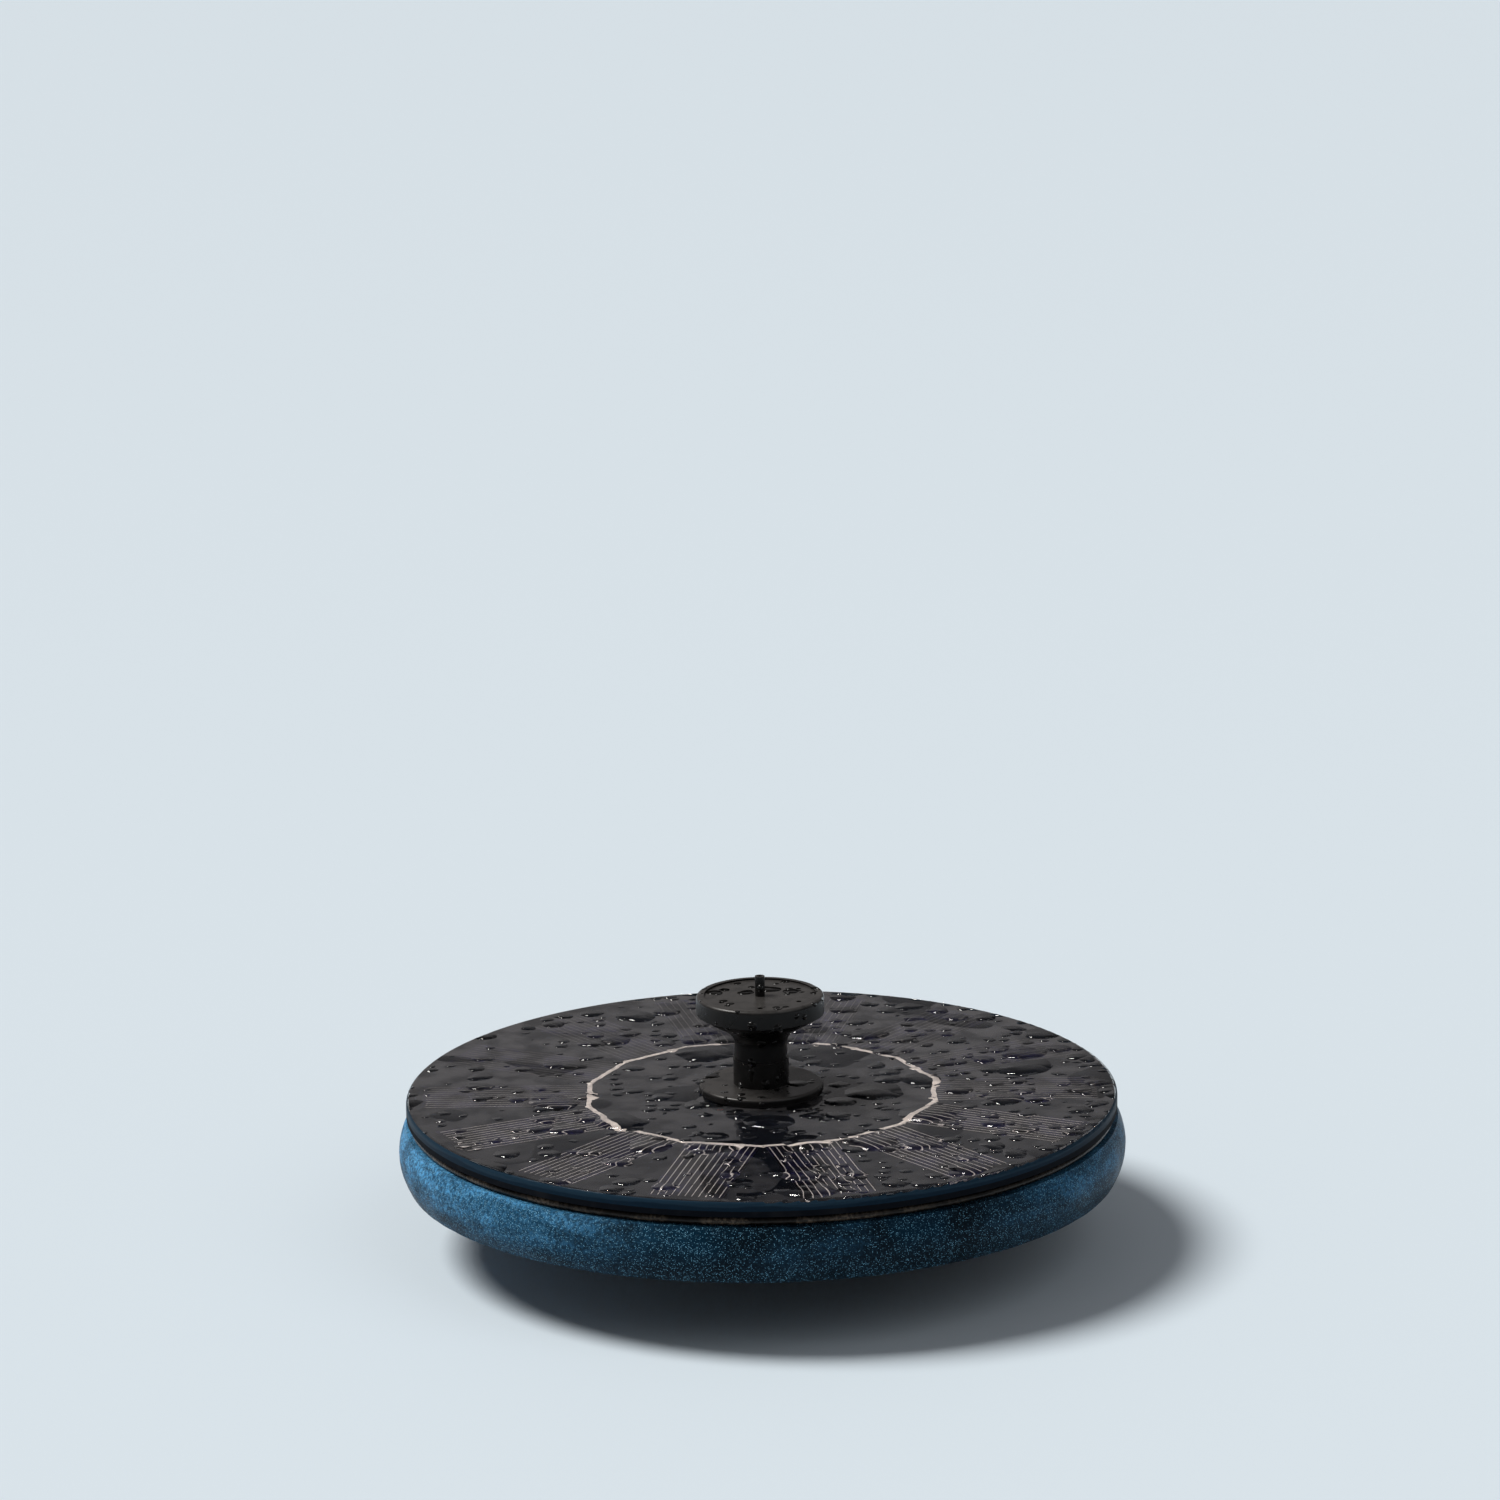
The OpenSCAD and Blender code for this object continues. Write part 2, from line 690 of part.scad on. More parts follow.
module can_lid() {
    ring_w = can_wall - touch_fit;
    color([0.08, 0.08, 0.08])
        difference() {
            union() {
                translate([0, 0, lid_z]) cylinder(r = pad_r, h = lid_t);
                translate([0, 0, lid_z - ring_w])
                    ring(can_in_r - touch_fit, can_in_r - touch_fit - ring_w, ring_w);
                intersection() {
                    rotate([0, 0, riser_turn])
                        translate([0, 0, duct_z]) rotate([0, 90, 0])
                            cylinder(r = duct_out_r, h = riser_d);
                    translate([0, 0, duct_bottom_z - overrun])
                        cylinder(r = can_r, h = lid_top_z - duct_bottom_z + overrun);
                }
                at_riser()
                    translate([0, 0, riser_top_z])
                        cylinder(r = riser_out_r, h = lid_z + lid_t / 2 - riser_top_z);
                translate([0, 0, duct_bottom_z + elbow_lift])
                    cylinder(r = outlet_r + duct_wall,
                             h = lid_z + lid_t / 2 - duct_bottom_z - elbow_lift);
                translate([0, 0, lid_z]) cylinder(r = root_r, h = head_z - lid_z - gasket_t);
                translate([0, 0, lid_z]) cylinder(r = spigot_r, h = spigot_top_z - lid_z);
            }
            rotate([0, 0, riser_turn])
                translate([0, 0, duct_z]) rotate([0, 90, 0]) cylinder(r = duct_r, h = riser_d);
            at_riser()
                translate([0, 0, riser_top_z - overrun])
                    cylinder(r = riser_r, h = duct_z - riser_top_z + overrun);
            translate([0, 0, duct_z - duct_r + elbow_lift])
                cylinder(r = outlet_r, h = spigot_top_z - duct_z + duct_r + overrun);
            translate([0, 0, lid_top_z - 2 * seal_r])
                ring(lid_seal_r() + seal_r + groove_side, lid_seal_r() - seal_r - groove_side,
                     2 * seal_r + overrun);
            at_leads(lid_z - overrun)
                cylinder(r = grommet_r, h = lid_t + 2 * overrun, $fn = 32);
            at_lid_screws(lid_z - overrun)
                cylinder(r = screw_r + screw_clear, h = lid_t + 2 * overrun, $fn = 32);
        }
}

function lid_seal_r() = hole_r + groove_side + 2 * seal_r;

module lid_seal() {
    color([0.12, 0.12, 0.12]) o_ring(lid_seal_r(), lid_top_z - seal_r);
}

module riser_seal() {
    color([0.12, 0.12, 0.12])
        at_riser()
            translate([0, 0, riser_top_z - riser_seal_t]) ring(riser_out_r, riser_r, riser_seal_t);
}

module lid_screws() {
    color("silver") at_lid_screws(lid_z) screw(lid_t + screw_bite);
}

// Motor

module stator_core() {
    color([0.45, 0.46, 0.48])
        translate([0, 0, core_z]) {
            difference() {
                union() {
                    ring(core_r, yoke_in_r, core_h);
                    around(pole_count, riser_turn)
                        translate([shoe_r - shoe_t / 2, -tooth_w / 2, 0])
                            cube([tooth_len + shoe_t, tooth_w, core_h]);
                    intersection() {
                        ring(shoe_r, pole_r, core_h);
                        around(pole_count, riser_turn) shoe_wedge();
                    }
                }
                translate([0, 0, -overrun]) cylinder(r = pole_r, h = core_h + 2 * overrun);
            }
        }
}

// A wedge from the axis that is as wide as one pole face
module shoe_wedge() {
    reach = 2 * shoe_r;
    linear_extrude(core_h)
        polygon([[0, 0],
                 [reach * cos(shoe_angle / 2), reach * sin(shoe_angle / 2)],
                 [reach * cos(shoe_angle / 2), -reach * sin(shoe_angle / 2)]]);
}

function winding_in() = shoe_r + touch_fit;
function winding_out() = sqrt(yoke_in_r * yoke_in_r - coil_w * coil_w / 4) - touch_fit;

// A square tube round a tooth, from one distance along it to another
module round_tooth(from, to, inner, outer) {
    translate([from, -tooth_w / 2 - outer, core_z - outer])
        difference() {
            cube([to - from, tooth_w + 2 * outer, core_h + 2 * outer]);
            translate([-overrun, outer - inner, outer - inner])
                cube([to - from + 2 * overrun, tooth_w + 2 * inner, core_h + 2 * inner]);
        }
}

module coil_bobbins() {
    color([0.85, 0.83, 0.75])
        around(pole_count, riser_turn) {
            round_tooth(winding_in(), winding_out(), touch_fit, touch_fit + bobbin_t);
            round_tooth(winding_in(), winding_in() + bobbin_t, touch_fit, winding);
            round_tooth(winding_out() - bobbin_t, winding_out(), touch_fit, winding);
        }
}

module stator_coils() {
    color([0.72, 0.38, 0.16])
        around(pole_count, riser_turn)
            round_tooth(winding_in() + bobbin_t, winding_out() - bobbin_t,
                        touch_fit + bobbin_t, winding);
}

module at_coil_ends(z) {
    rotate([0, 0, riser_turn + 180])
        for (side = [-1, 1])
            translate([(winding_in() + winding_out()) / 2, side * tooth_w / 3, z]) children();
}

module coil_ends() {
    color([0.72, 0.38, 0.16])
        at_coil_ends(coil_top_z) cylinder(r = wire_r, h = driver_z - coil_top_z, $fn = 24);
}

module potting_layer() {
    color([0.03, 0.03, 0.03])
        translate([0, 0, potting_z])
            difference() {
                cylinder(r = can_in_r - touch_fit, h = potting_t);
                translate([0, 0, -overrun])
                    cylinder(r = well_out_r + touch_fit, h = potting_t + 2 * overrun);
                at_riser()
                    translate([0, 0, -overrun])
                        cylinder(r = riser_out_r + touch_fit, h = potting_t + 2 * overrun);
                at_posts(-overrun)
                    cylinder(r = post_r + touch_fit, h = potting_t + 2 * overrun, $fn = 32);
                at_coil_ends(-overrun)
                    cylinder(r = wire_r + touch_fit, h = potting_t + 2 * overrun, $fn = 24);
            }
}

module driver_board() {
    color([0.05, 0.25, 0.12])
        rotate([0, 0, riser_turn + 180])
            translate([0, 0, driver_z])
                intersection() {
                    cylinder(r = can_in_r - can_wall - driver_fit, h = driver_t);
                    translate([driver_cut, -can_in_r, -overrun])
                        cube([can_in_r, 2 * can_in_r, driver_t + 2 * overrun]);
                }
}

// Places are shares of the board's depth from its straight edge to its rim
module board_parts() {
    reach = can_in_r - can_wall - driver_fit - driver_cut;
    chip_share = [0.12, -0.62];
    hall_share = 0.08;
    resistor_share = [0.12, 0.72];
    capacitor_share = [0.3, 0.48];
    rotate([0, 0, riser_turn + 180])
        translate([driver_cut, 0, driver_z + driver_t]) {
            color([0.06, 0.06, 0.06]) {
                translate(reach * chip_share) cube(chip_size);
                translate([reach * hall_share, -hall_size[1] / 2, 0]) cube(hall_size);
                for (i = [0 : resistor_count - 1])
                    translate(reach * resistor_share + [i * 2 * resistor_size[0], 0])
                        cube(resistor_size);
            }
            color([0.2, 0.22, 0.3])
                translate(reach * capacitor_share)
                    cylinder(r = capacitor_r, h = capacitor_h, $fn = 32);
        }
}

module lead(side) {
    rotate([0, 0, riser_turn + 180])
        translate([lead_x, side * lead_pitch / 2, driver_z + driver_t])
            cylinder(r = lead_r, h = board_z - driver_z - driver_t, $fn = 32);
}

module positive_lead() {
    color([0.7, 0.08, 0.06]) lead(1);
}

module negative_lead() {
    color([0.05, 0.05, 0.05]) lead(-1);
}

module lead_grommets() {
    color([0.12, 0.12, 0.12])
        at_leads(0)
            difference() {
                union() {
                    translate([0, 0, lid_z - grommet_lip_h])
                        cylinder(r = grommet_r - touch_fit, h = lid_t + grommet_lip_h, $fn = 32);
                    translate([0, 0, lid_z - grommet_lip_h])
                        cylinder(r = grommet_r + grommet_lip, h = grommet_lip_h, $fn = 32);
                }
                translate([0, 0, lid_z - grommet_lip_h - overrun])
                    cylinder(r = lead_r + touch_fit, h = lid_t + grommet_lip_h + 2 * overrun,
                             $fn = 32);
            }
}

module pump_shaft() {
    color([0.9, 0.9, 0.88])
        translate([0, 0, lower_seat_z - bush_len + touch_fit])
            cylinder(r = shaft_r, h = well_top_z - lower_seat_z + bush_len - 2 * touch_fit, $fn = 48);
}

module bush(z) {
    translate([0, 0, z]) ring(bush_r - touch_fit, shaft_r + touch_fit, bush_len - touch_fit);
}

module upper_bush() {
    color([0.15, 0.15, 0.15]) bush(upper_seat_z);
}

module lower_bush() {
    color([0.15, 0.15, 0.15]) bush(lower_seat_z - bush_len + touch_fit);
}

module rotor_magnet() {
    color([0.25, 0.25, 0.27])
        translate([0, 0, disc_top_z]) ring(magnet_r, sleeve_r + touch_fit, magnet_h);
}

module impeller() {
    color([0.88, 0.88, 0.86])
        difference() {
            union() {
                translate([0, 0, disc_z]) cylinder(r = impeller_r, h = disc_t);
                translate([0, 0, hub_z]) cylinder(r = seat_r + blade_t / 2, h = hub_drop);
                translate([0, 0, disc_z]) cylinder(r = sleeve_r, h = magnet_top_z - disc_z);
                intersection() {
                    around(blade_count)
                        translate([seat_r + blade_t, -blade_t / 2, blade_z])
                            cube([impeller_r, blade_t, blade_h + disc_t]);
                    translate([0, 0, blade_z]) cylinder(r = impeller_r, h = blade_h + disc_t);
                }
            }
            translate([0, 0, hub_z - overrun])
                cylinder(r = shaft_r + shaft_fit, h = magnet_top_z - hub_z + 2 * overrun, $fn = 48);
        }
}

// Impeller chamber's cover

function cover_seal_r() = chamber_r + seal_land / 2;

module volute_cover() {
    color([0.1, 0.1, 0.1])
        difference() {
            union() {
                translate([0, 0, cover_z]) cylinder(r = volute_r, h = cover_t);
                translate([0, 0, cover_z]) cylinder(r = seat_r, h = lower_seat_z - cover_z);
            }
            difference() {
                translate([0, 0, cover_z - overrun]) ring(eye_r, seat_r, cover_t + 2 * overrun);
                around(eye_arms, riser_turn)
                    translate([0, -eye_arm_w / 2, cover_z - 2 * overrun])
                        cube([eye_r + eye_arm_w, eye_arm_w, cover_t + 4 * overrun]);
            }
            translate([0, 0, lower_seat_z - bush_len]) cylinder(r = bush_r, h = bush_len + overrun);
            translate([0, 0, chamber_z - 2 * seal_r])
                ring(cover_seal_r() + seal_r + groove_side, cover_seal_r() - seal_r - groove_side,
                     2 * seal_r + overrun);
            at_cover_screws(cover_z - overrun)
                cylinder(r = screw_r + screw_clear, h = cover_t + 2 * overrun, $fn = 32);
        }
}

module cover_seal() {
    color([0.12, 0.12, 0.12]) o_ring(cover_seal_r(), chamber_z - seal_r);
}

module cover_screws() {
    color("silver") at_cover_screws(cover_z) screw(cover_t + screw_bite);
}

// Strainer

module strainer() {
    slot_top_z = partition_z - slot_foot;
    color([0.06, 0.06, 0.06])
        difference() {
            union() {
                difference() {
                    mirror([0, 0, 1])
                        translate([0, 0, -strainer_top_z])
                            rotate_extrude() disc_section(strainer_r, strainer_top_z, strainer_edge);
                    translate([0, 0, floor_t])
                        cylinder(r = strainer_in_r, h = strainer_top_z);
                }
                around(rib_count, 180 / rib_count)
                    translate([strainer_in_r - rib_depth, -rib_w / 2, floor_t - overrun])
                        cube([rib_depth + strainer_wall / 2, rib_w,
                              partition_z - rib_gap - floor_t + overrun]);
            }
            around(side_slots, 180 / side_slots + 360 / side_slots / 2)
                translate([strainer_in_r - overrun, -slot_w / 2, floor_t + slot_foot])
                    cube([strainer_wall + 2 * overrun, slot_w, slot_top_z - floor_t - slot_foot]);
            around(floor_slots)
                translate([floor_hub_r, -slot_w / 2, -overrun])
                    cube([strainer_in_r - slot_end_gap - floor_hub_r, slot_w, floor_t + 2 * overrun]);
        }
}

resin_cover();
cell_fingers();
bus_ribbon();
solar_cells();
panel_board();
panel_tape();
float_tray();
foam_ring();
retaining_collar();
collar_gasket();
spray_body();
spray_cap();
cap_seal();
pump_can();
can_lid();
lid_seal();
riser_seal();
lid_screws();
stator_core();
coil_bobbins();
stator_coils();
coil_ends();
potting_layer();
driver_board();
board_parts();
positive_lead();
negative_lead();
lead_grommets();
pump_shaft();
upper_bush();
lower_bush();
rotor_magnet();
impeller();
volute_cover();
cover_seal();
cover_screws();
strainer();
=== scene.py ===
import math

import bmesh
import bpy
from mathutils import Matrix, Vector


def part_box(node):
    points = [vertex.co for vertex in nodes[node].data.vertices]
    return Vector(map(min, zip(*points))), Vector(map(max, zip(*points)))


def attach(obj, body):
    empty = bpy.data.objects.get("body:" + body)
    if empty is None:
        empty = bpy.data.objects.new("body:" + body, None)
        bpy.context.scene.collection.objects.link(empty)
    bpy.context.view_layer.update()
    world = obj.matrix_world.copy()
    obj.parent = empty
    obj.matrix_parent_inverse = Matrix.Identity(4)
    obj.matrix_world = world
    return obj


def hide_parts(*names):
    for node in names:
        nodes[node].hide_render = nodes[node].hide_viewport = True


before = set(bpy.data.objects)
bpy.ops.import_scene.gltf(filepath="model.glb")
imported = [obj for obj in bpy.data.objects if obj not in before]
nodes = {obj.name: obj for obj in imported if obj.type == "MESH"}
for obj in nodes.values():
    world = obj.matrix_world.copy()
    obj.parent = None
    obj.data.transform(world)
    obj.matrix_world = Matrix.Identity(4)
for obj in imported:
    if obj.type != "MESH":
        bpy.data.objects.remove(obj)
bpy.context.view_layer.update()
hull = "float_and_pump"
mm = 0.001

# Helpers for node trees


def feed(tree, socket, value):
    # links another node's output, or sets the input's own value
    if isinstance(value, bpy.types.NodeSocket):
        tree.links.new(value, socket)
    else:
        socket.default_value = value


def addNode(tree, kind, inputs=None, **settings):
    node = tree.nodes.new(kind)
    for key, value in settings.items():
        setattr(node, key, value)
    for key, value in (inputs or {}).items():
        feed(tree, node.inputs[key], value)
    return node


def sums(tree, operation, *values, clamp=False):
    node = addNode(tree, "ShaderNodeMath", dict(enumerate(values)), operation=operation,
                   use_clamp=clamp)
    return node.outputs[0]


def vectorSums(tree, operation, *values):
    node = addNode(tree, "ShaderNodeVectorMath", dict(enumerate(values)), operation=operation)
    return node.outputs["Vector"]


def scaleVector(tree, vector, factor):
    node = addNode(tree, "ShaderNodeVectorMath", {0: vector, "Scale": factor}, operation="SCALE")
    return node.outputs["Vector"]


def remap(tree, value, fromLow, fromHigh, toLow=0.0, toHigh=1.0, kind="SMOOTHSTEP"):
    # a soft ramp; a setting that ends in Ramp holds these four numbers, or the first two
    node = addNode(tree, "ShaderNodeMapRange", {
        "Value": value, "From Min": fromLow, "From Max": fromHigh, "To Min": toLow,
        "To Max": toHigh}, interpolation_type=kind)
    return node.outputs[0]


def mixColour(tree, share, first, second):
    node = addNode(tree, "ShaderNodeMix", {0: share, 6: first, 7: second}, data_type="RGBA")
    return node.outputs[2]


def rgba(colour):
    return (*colour, 1.0)


def noise(tree, vector, scale, detail=2.0, **inputs):
    node = addNode(tree, "ShaderNodeTexNoise", {"Vector": vector, "Scale": scale,
                                                "Detail": detail, **inputs})
    return node.outputs


def patches(tree, at, size, detail=2.0):
    # soft patches about as wide as the given size, from 0 to 1
    return noise(tree, at, 1 / size, detail)["Fac"]


def stray(tree, at, scale):
    # a vector that strays round zero, by up to half a unit each way
    return vectorSums(tree, "SUBTRACT", noise(tree, at, scale)["Color"], (0.5, 0.5, 0.5))


def split(tree, vector):
    return addNode(tree, "ShaderNodeSeparateXYZ", {"Vector": vector}).outputs


def axisDistance(tree, at):
    flat = vectorSums(tree, "MULTIPLY", at, (1.0, 1.0, 0.0))
    length = addNode(tree, "ShaderNodeVectorMath", {0: flat}, operation="LENGTH")
    return length.outputs["Value"]


def socketKind(value):
    if value is None:
        return "NodeSocketVector"
    return "NodeSocketColor" if isinstance(value, tuple) else "NodeSocketFloat"


def newGroup(name, inputs, outputs):
    # an input or output whose value is None carries a vector
    group = bpy.data.node_groups.new(name, "ShaderNodeTree")
    for label, value in inputs.items():
        socket = group.interface.new_socket(label, in_out="INPUT", socket_type=socketKind(value))
        if value is not None:
            socket.default_value = value
    for label, value in outputs.items():
        group.interface.new_socket(label, in_out="OUTPUT", socket_type=socketKind(value))
    return group, group.nodes.new("NodeGroupInput").outputs, group.nodes.new("NodeGroupOutput")


def place(tree, group, inputs):
    return addNode(tree, "ShaderNodeGroup", inputs, node_tree=group).outputs


# Shader groups that several finishes share

# bend is the number of bends in one spacing, and scatter is how freely the drops lie
dropForm = dict(bend=1.1, scatter=0.85)


def makeDropGroup(name, dimensions):
    # standing drops of one size class, as a height in metres and a mask of where they lie
    group, given, end = newGroup(name, {
        "Vector": None, "Spacing": 4 * mm, "Share": 0.7, "Smallest": 0.14, "Largest": 0.46,
        "Rim Slope": 0.9, "Flatness": 2.0, "Wander": 0.4}, {"Height": 0.0, "Wet": 0.0})
    spread = sums(group, "DIVIDE", 1.0, given["Spacing"])
    bend = stray(group, given["Vector"], sums(group, "MULTIPLY", spread, dropForm["bend"]))
    far = scaleVector(group, bend, sums(group, "MULTIPLY", given["Spacing"], given["Wander"]))
    cells = addNode(group, "ShaderNodeTexVoronoi", {
        "Vector": vectorSums(group, "ADD", given["Vector"], far), "Scale": spread,
        "Randomness": dropForm["scatter"]}, voronoi_dimensions=dimensions).outputs
    pick = addNode(group, "ShaderNodeSeparateColor", {"Color": cells["Color"]}).outputs
    there = sums(group, "LESS_THAN", pick[0], given["Share"])
    size = remap(group, pick[1], 0.0, 1.0, given["Smallest"], given["Largest"], "LINEAR")
    reach = sums(group, "DIVIDE", cells["Distance"], size, clamp=True)
    dome = sums(group, "SUBTRACT", 1.0, sums(group, "POWER", reach, given["Flatness"]))
    steep = sums(group, "DIVIDE", given["Rim Slope"], given["Flatness"])
    radius = sums(group, "MULTIPLY", size, given["Spacing"])
    high = sums(group, "MULTIPLY", sums(group, "MULTIPLY", dome, radius), steep)
    height = sums(group, "MULTIPLY", high, there)
    feed(group, end.inputs["Height"], height)
    feed(group, end.inputs["Wet"], sums(group, "GREATER_THAN", height, 0.0))
    return group


puddleForm = dict(detail=1.2, roughness=0.3, distortion=0.2)


def makePuddleGroup():
    # flat-topped puddles with rounded shores, as a height in metres and a mask of where they lie
    group, given, end = newGroup("waterPuddles", {
        "Vector": None, "Size": 9 * mm, "Level": 0.55, "Shore": 0.1, "Depth": 1.2 * mm},
        {"Height": 0.0, "Wet": 0.0})
    field = noise(group, given["Vector"], sums(group, "DIVIDE", 1.0, given["Size"]),
                  puddleForm["detail"], Roughness=puddleForm["roughness"],
                  Distortion=puddleForm["distortion"])
    above = sums(group, "SUBTRACT", field["Fac"], given["Level"])
    inside = sums(group, "DIVIDE", above, given["Shore"], clamp=True)
    fall = sums(group, "SUBTRACT", 1.0, inside)
    dome = sums(group, "SUBTRACT", 1.0, sums(group, "MULTIPLY", fall, fall))
    feed(group, end.inputs["Height"], sums(group, "MULTIPLY", dome, given["Depth"]))
    feed(group, end.inputs["Wet"], sums(group, "GREATER_THAN", inside, 0.0))
    return group


# breadth is how many grains wide a broad patch is
grainForm = dict(detail=3.0, breadth=24.0, pale=(0.22, 0.21, 0.2), paleShare=0.05,
                 paleRamp=(0.45, 0.75, 0.0, 0.5), shineRamp=(0.3, 0.7, -0.07, 0.07))


def makeGrainGroup():
    # fine moulded grain: a colour shift, a roughness shift and a height
    group, given, end = newGroup("mouldedGrain", {
        "Vector": None, "Colour": (0.5, 0.5, 0.5, 1.0), "Grain": 0.3 * mm, "Roughness": 0.45,
        "Depth": 0.006 * mm}, {"Colour": rgba((0, 0, 0)), "Roughness": 0.0, "Height": 0.0})
    spread = sums(group, "DIVIDE", 1.0, given["Grain"])
    fine = noise(group, given["Vector"], spread, grainForm["detail"])["Fac"]
    broad = noise(group, given["Vector"],
                  sums(group, "DIVIDE", spread, grainForm["breadth"]))["Fac"]
    pale = mixColour(group, grainForm["paleShare"], given["Colour"], rgba(grainForm["pale"]))
    share = remap(group, broad, *grainForm["paleRamp"])
    shine = remap(group, broad, *grainForm["shineRamp"], "LINEAR")
    feed(group, end.inputs["Colour"], mixColour(group, share, given["Colour"], pale))
    feed(group, end.inputs["Roughness"], sums(group, "ADD", given["Roughness"], shine, clamp=True))
    feed(group, end.inputs["Height"], sums(group, "MULTIPLY", fine, given["Depth"]))
    return group


# the lighter colour on faces that look up stands for dried lime and for painted light falling on
# them
limeAndLitTopForm = dict(detail=4.0, facingRamp=(0.25, 0.8), patchRamp=(0.3, 0.6, 0.55, 1.0))


def makeLimeAndLitTopGroup():
    # lime and dust that dry on faces that look up, and painted light that makes those faces
    # lighter, as a colour over the plastic's own
    group, given, end = newGroup("driedLimeAndLitTop", {
        "Vector": None, "Normal": None, "Colour": (0.01, 0.01, 0.01, 1.0),
        "Lime And Lit Top": (0.1, 0.1, 0.1, 1.0), "Patch": 3 * mm}, {"Colour": rgba((0, 0, 0))})
    facing = remap(group, split(group, given["Normal"])[2], *limeAndLitTopForm["facingRamp"])
    patch = noise(group, given["Vector"], sums(group, "DIVIDE", 1.0, given["Patch"]),
                  limeAndLitTopForm["detail"])["Fac"]
    share = sums(group, "MULTIPLY", facing, remap(group, patch, *limeAndLitTopForm["patchRamp"]))
    feed(group, end.inputs["Colour"], mixColour(group, share, given["Colour"], given["Lime And Lit Top"]))
    return group


dropGroup = makeDropGroup("waterDrops", "3D")
flatDropGroup = makeDropGroup("waterDropsOnFlat", "2D")
puddleGroup = makePuddleGroup()
grainGroup = makeGrainGroup()
limeAndLitTopGroup = makeLimeAndLitTopGroup()
print("shader groups made")

# Helpers for materials


def newMaterial(name):
    # gives the material, its tree and the object's own coordinates
    material = bpy.data.materials.new(name)
    material.use_nodes = True
    tree = material.node_tree
    tree.nodes.clear()
    return material, tree, addNode(tree, "ShaderNodeTexCoord").outputs["Object"]


def show(tree, shader):
    addNode(tree, "ShaderNodeOutputMaterial", {"Surface": shader})


def principled(tree, inputs):
    return addNode(tree, "ShaderNodeBsdfPrincipled", inputs).outputs[0]


def mixShaders(tree, share, first, second):
    return addNode(tree, "ShaderNodeMixShader", {0: share, 1: first, 2: second}).outputs[0]


def bump(tree, height):
    # heights are in metres, so the bump's own distance is one metre
    node = addNode(tree, "ShaderNodeBump", {"Strength": 1.0, "Distance": 1.0, "Height": height})
    return node.outputs["Normal"]


def placeDrops(tree, group, at, size, more=None):
    # more is a share that changes over the surface and is added to the drops' own
    share = size["share"]
    if more is not None:
        share = sums(tree, "ADD", more, share, clamp=True)
    return place(tree, group, {
        "Vector": at, "Spacing": size["spacing"], "Share": share, "Smallest": size["smallest"],
        "Largest": size["largest"], "Rim Slope": size["slope"], "Flatness": size["flatness"]})


def together(tree, waters):
    # the highest of several kinds of standing water, and where any of it lies
    height, wet = waters[0]["Height"], waters[0]["Wet"]
    for water in waters[1:]:
        height = sums(tree, "MAXIMUM", height, water["Height"])
        wet = sums(tree, "MAXIMUM", wet, water["Wet"])
    return height, wet


# Finishes


def makeMoulded(name, colour, roughness, grain=0.3 * mm, depth=0.006 * mm, metallic=0.0,
                specular=0.5):
    material, tree, at = newMaterial(name)
    skin = place(tree, grainGroup, {"Vector": at, "Colour": rgba(colour), "Grain": grain,
                                    "Roughness": roughness, "Depth": depth})
    show(tree, principled(tree, {
        "Base Color": skin["Colour"], "Roughness": skin["Roughness"], "Metallic": metallic,
        "Specular IOR Level": specular, "Normal": bump(tree, skin["Height"])}))
    return material


mouldedFinishes = {
    "panel_board": dict(name="blackBoard", colour=(0.003, 0.0042, 0.007), roughness=0.7,
                        grain=0.2 * mm, depth=0.004 * mm, specular=0.04),
    "panel_tape": dict(name="foamTape", colour=(0.008, 0.008, 0.008), roughness=0.9,
                       grain=0.2 * mm, depth=0.03 * mm),
    "pump_can": dict(name="canPlastic", colour=(0.012, 0.0118, 0.0115), roughness=0.38,
                     grain=0.35 * mm, depth=0.008 * mm),
    "stator_core": dict(name="coreSteel", colour=(0.34, 0.35, 0.37), roughness=0.42,
                        grain=0.2 * mm, depth=0.01 * mm, metallic=1.0),
    "coil_bobbins": dict(name="bobbinNylon", colour=(0.78, 0.75, 0.66), roughness=0.5),
    "potting_layer": dict(name="pottingResin", colour=(0.008, 0.008, 0.009), roughness=0.12,
                          grain=2.0 * mm, depth=0.03 * mm),
    "driver_board": dict(name="greenBoard", colour=(0.012, 0.11, 0.045), roughness=0.28,
                         depth=0.01 * mm),
    "board_parts": dict(name="chipBlack", colour=(0.012, 0.012, 0.012), roughness=0.5),
    "positive_lead": dict(name="redLead", colour=(0.5, 0.02, 0.016), roughness=0.35),
    "pump_shaft": dict(name="shaftCeramic", colour=(0.8, 0.79, 0.75), roughness=0.25,
                       grain=0.1 * mm, depth=0.002 * mm),
    "rotor_magnet": dict(name="ferrite", colour=(0.045, 0.045, 0.05), roughness=0.55,
                         grain=0.15 * mm, depth=0.01 * mm, metallic=0.4),
    "impeller": dict(name="rotorPlastic", colour=(0.8, 0.8, 0.77), roughness=0.4),
    "lid_screws": dict(name="screwSteel", colour=(0.55, 0.55, 0.56), roughness=0.3,
                       grain=0.15 * mm, depth=0.004 * mm, metallic=1.0),
    "collar_gasket": dict(name="sealRubber", colour=(0.012, 0.012, 0.012), roughness=0.7,
                          grain=0.2 * mm, depth=0.012 * mm),
}

wetPlastic = dict(
    grain=0.25 * mm, depth=0.005 * mm, specular=0.25, wetRoughness=0.06,
    limeAndLitTop=(0.05, 0.047, 0.045), patch=3.0 * mm,
    drops=(dict(spacing=6.4 * mm, share=0.6, smallest=0.2, largest=0.44, slope=1.8, flatness=3.0),
           dict(spacing=2.8 * mm, share=0.5, smallest=0.2, largest=0.42, slope=1.5, flatness=2.0)))
headPlastic = dict(name="headPlastic", colour=(0.0062, 0.0058, 0.0056), roughness=0.3)
stemPlastic = dict(name="stemPlastic", colour=(0.004, 0.0038, 0.0038), roughness=0.34)


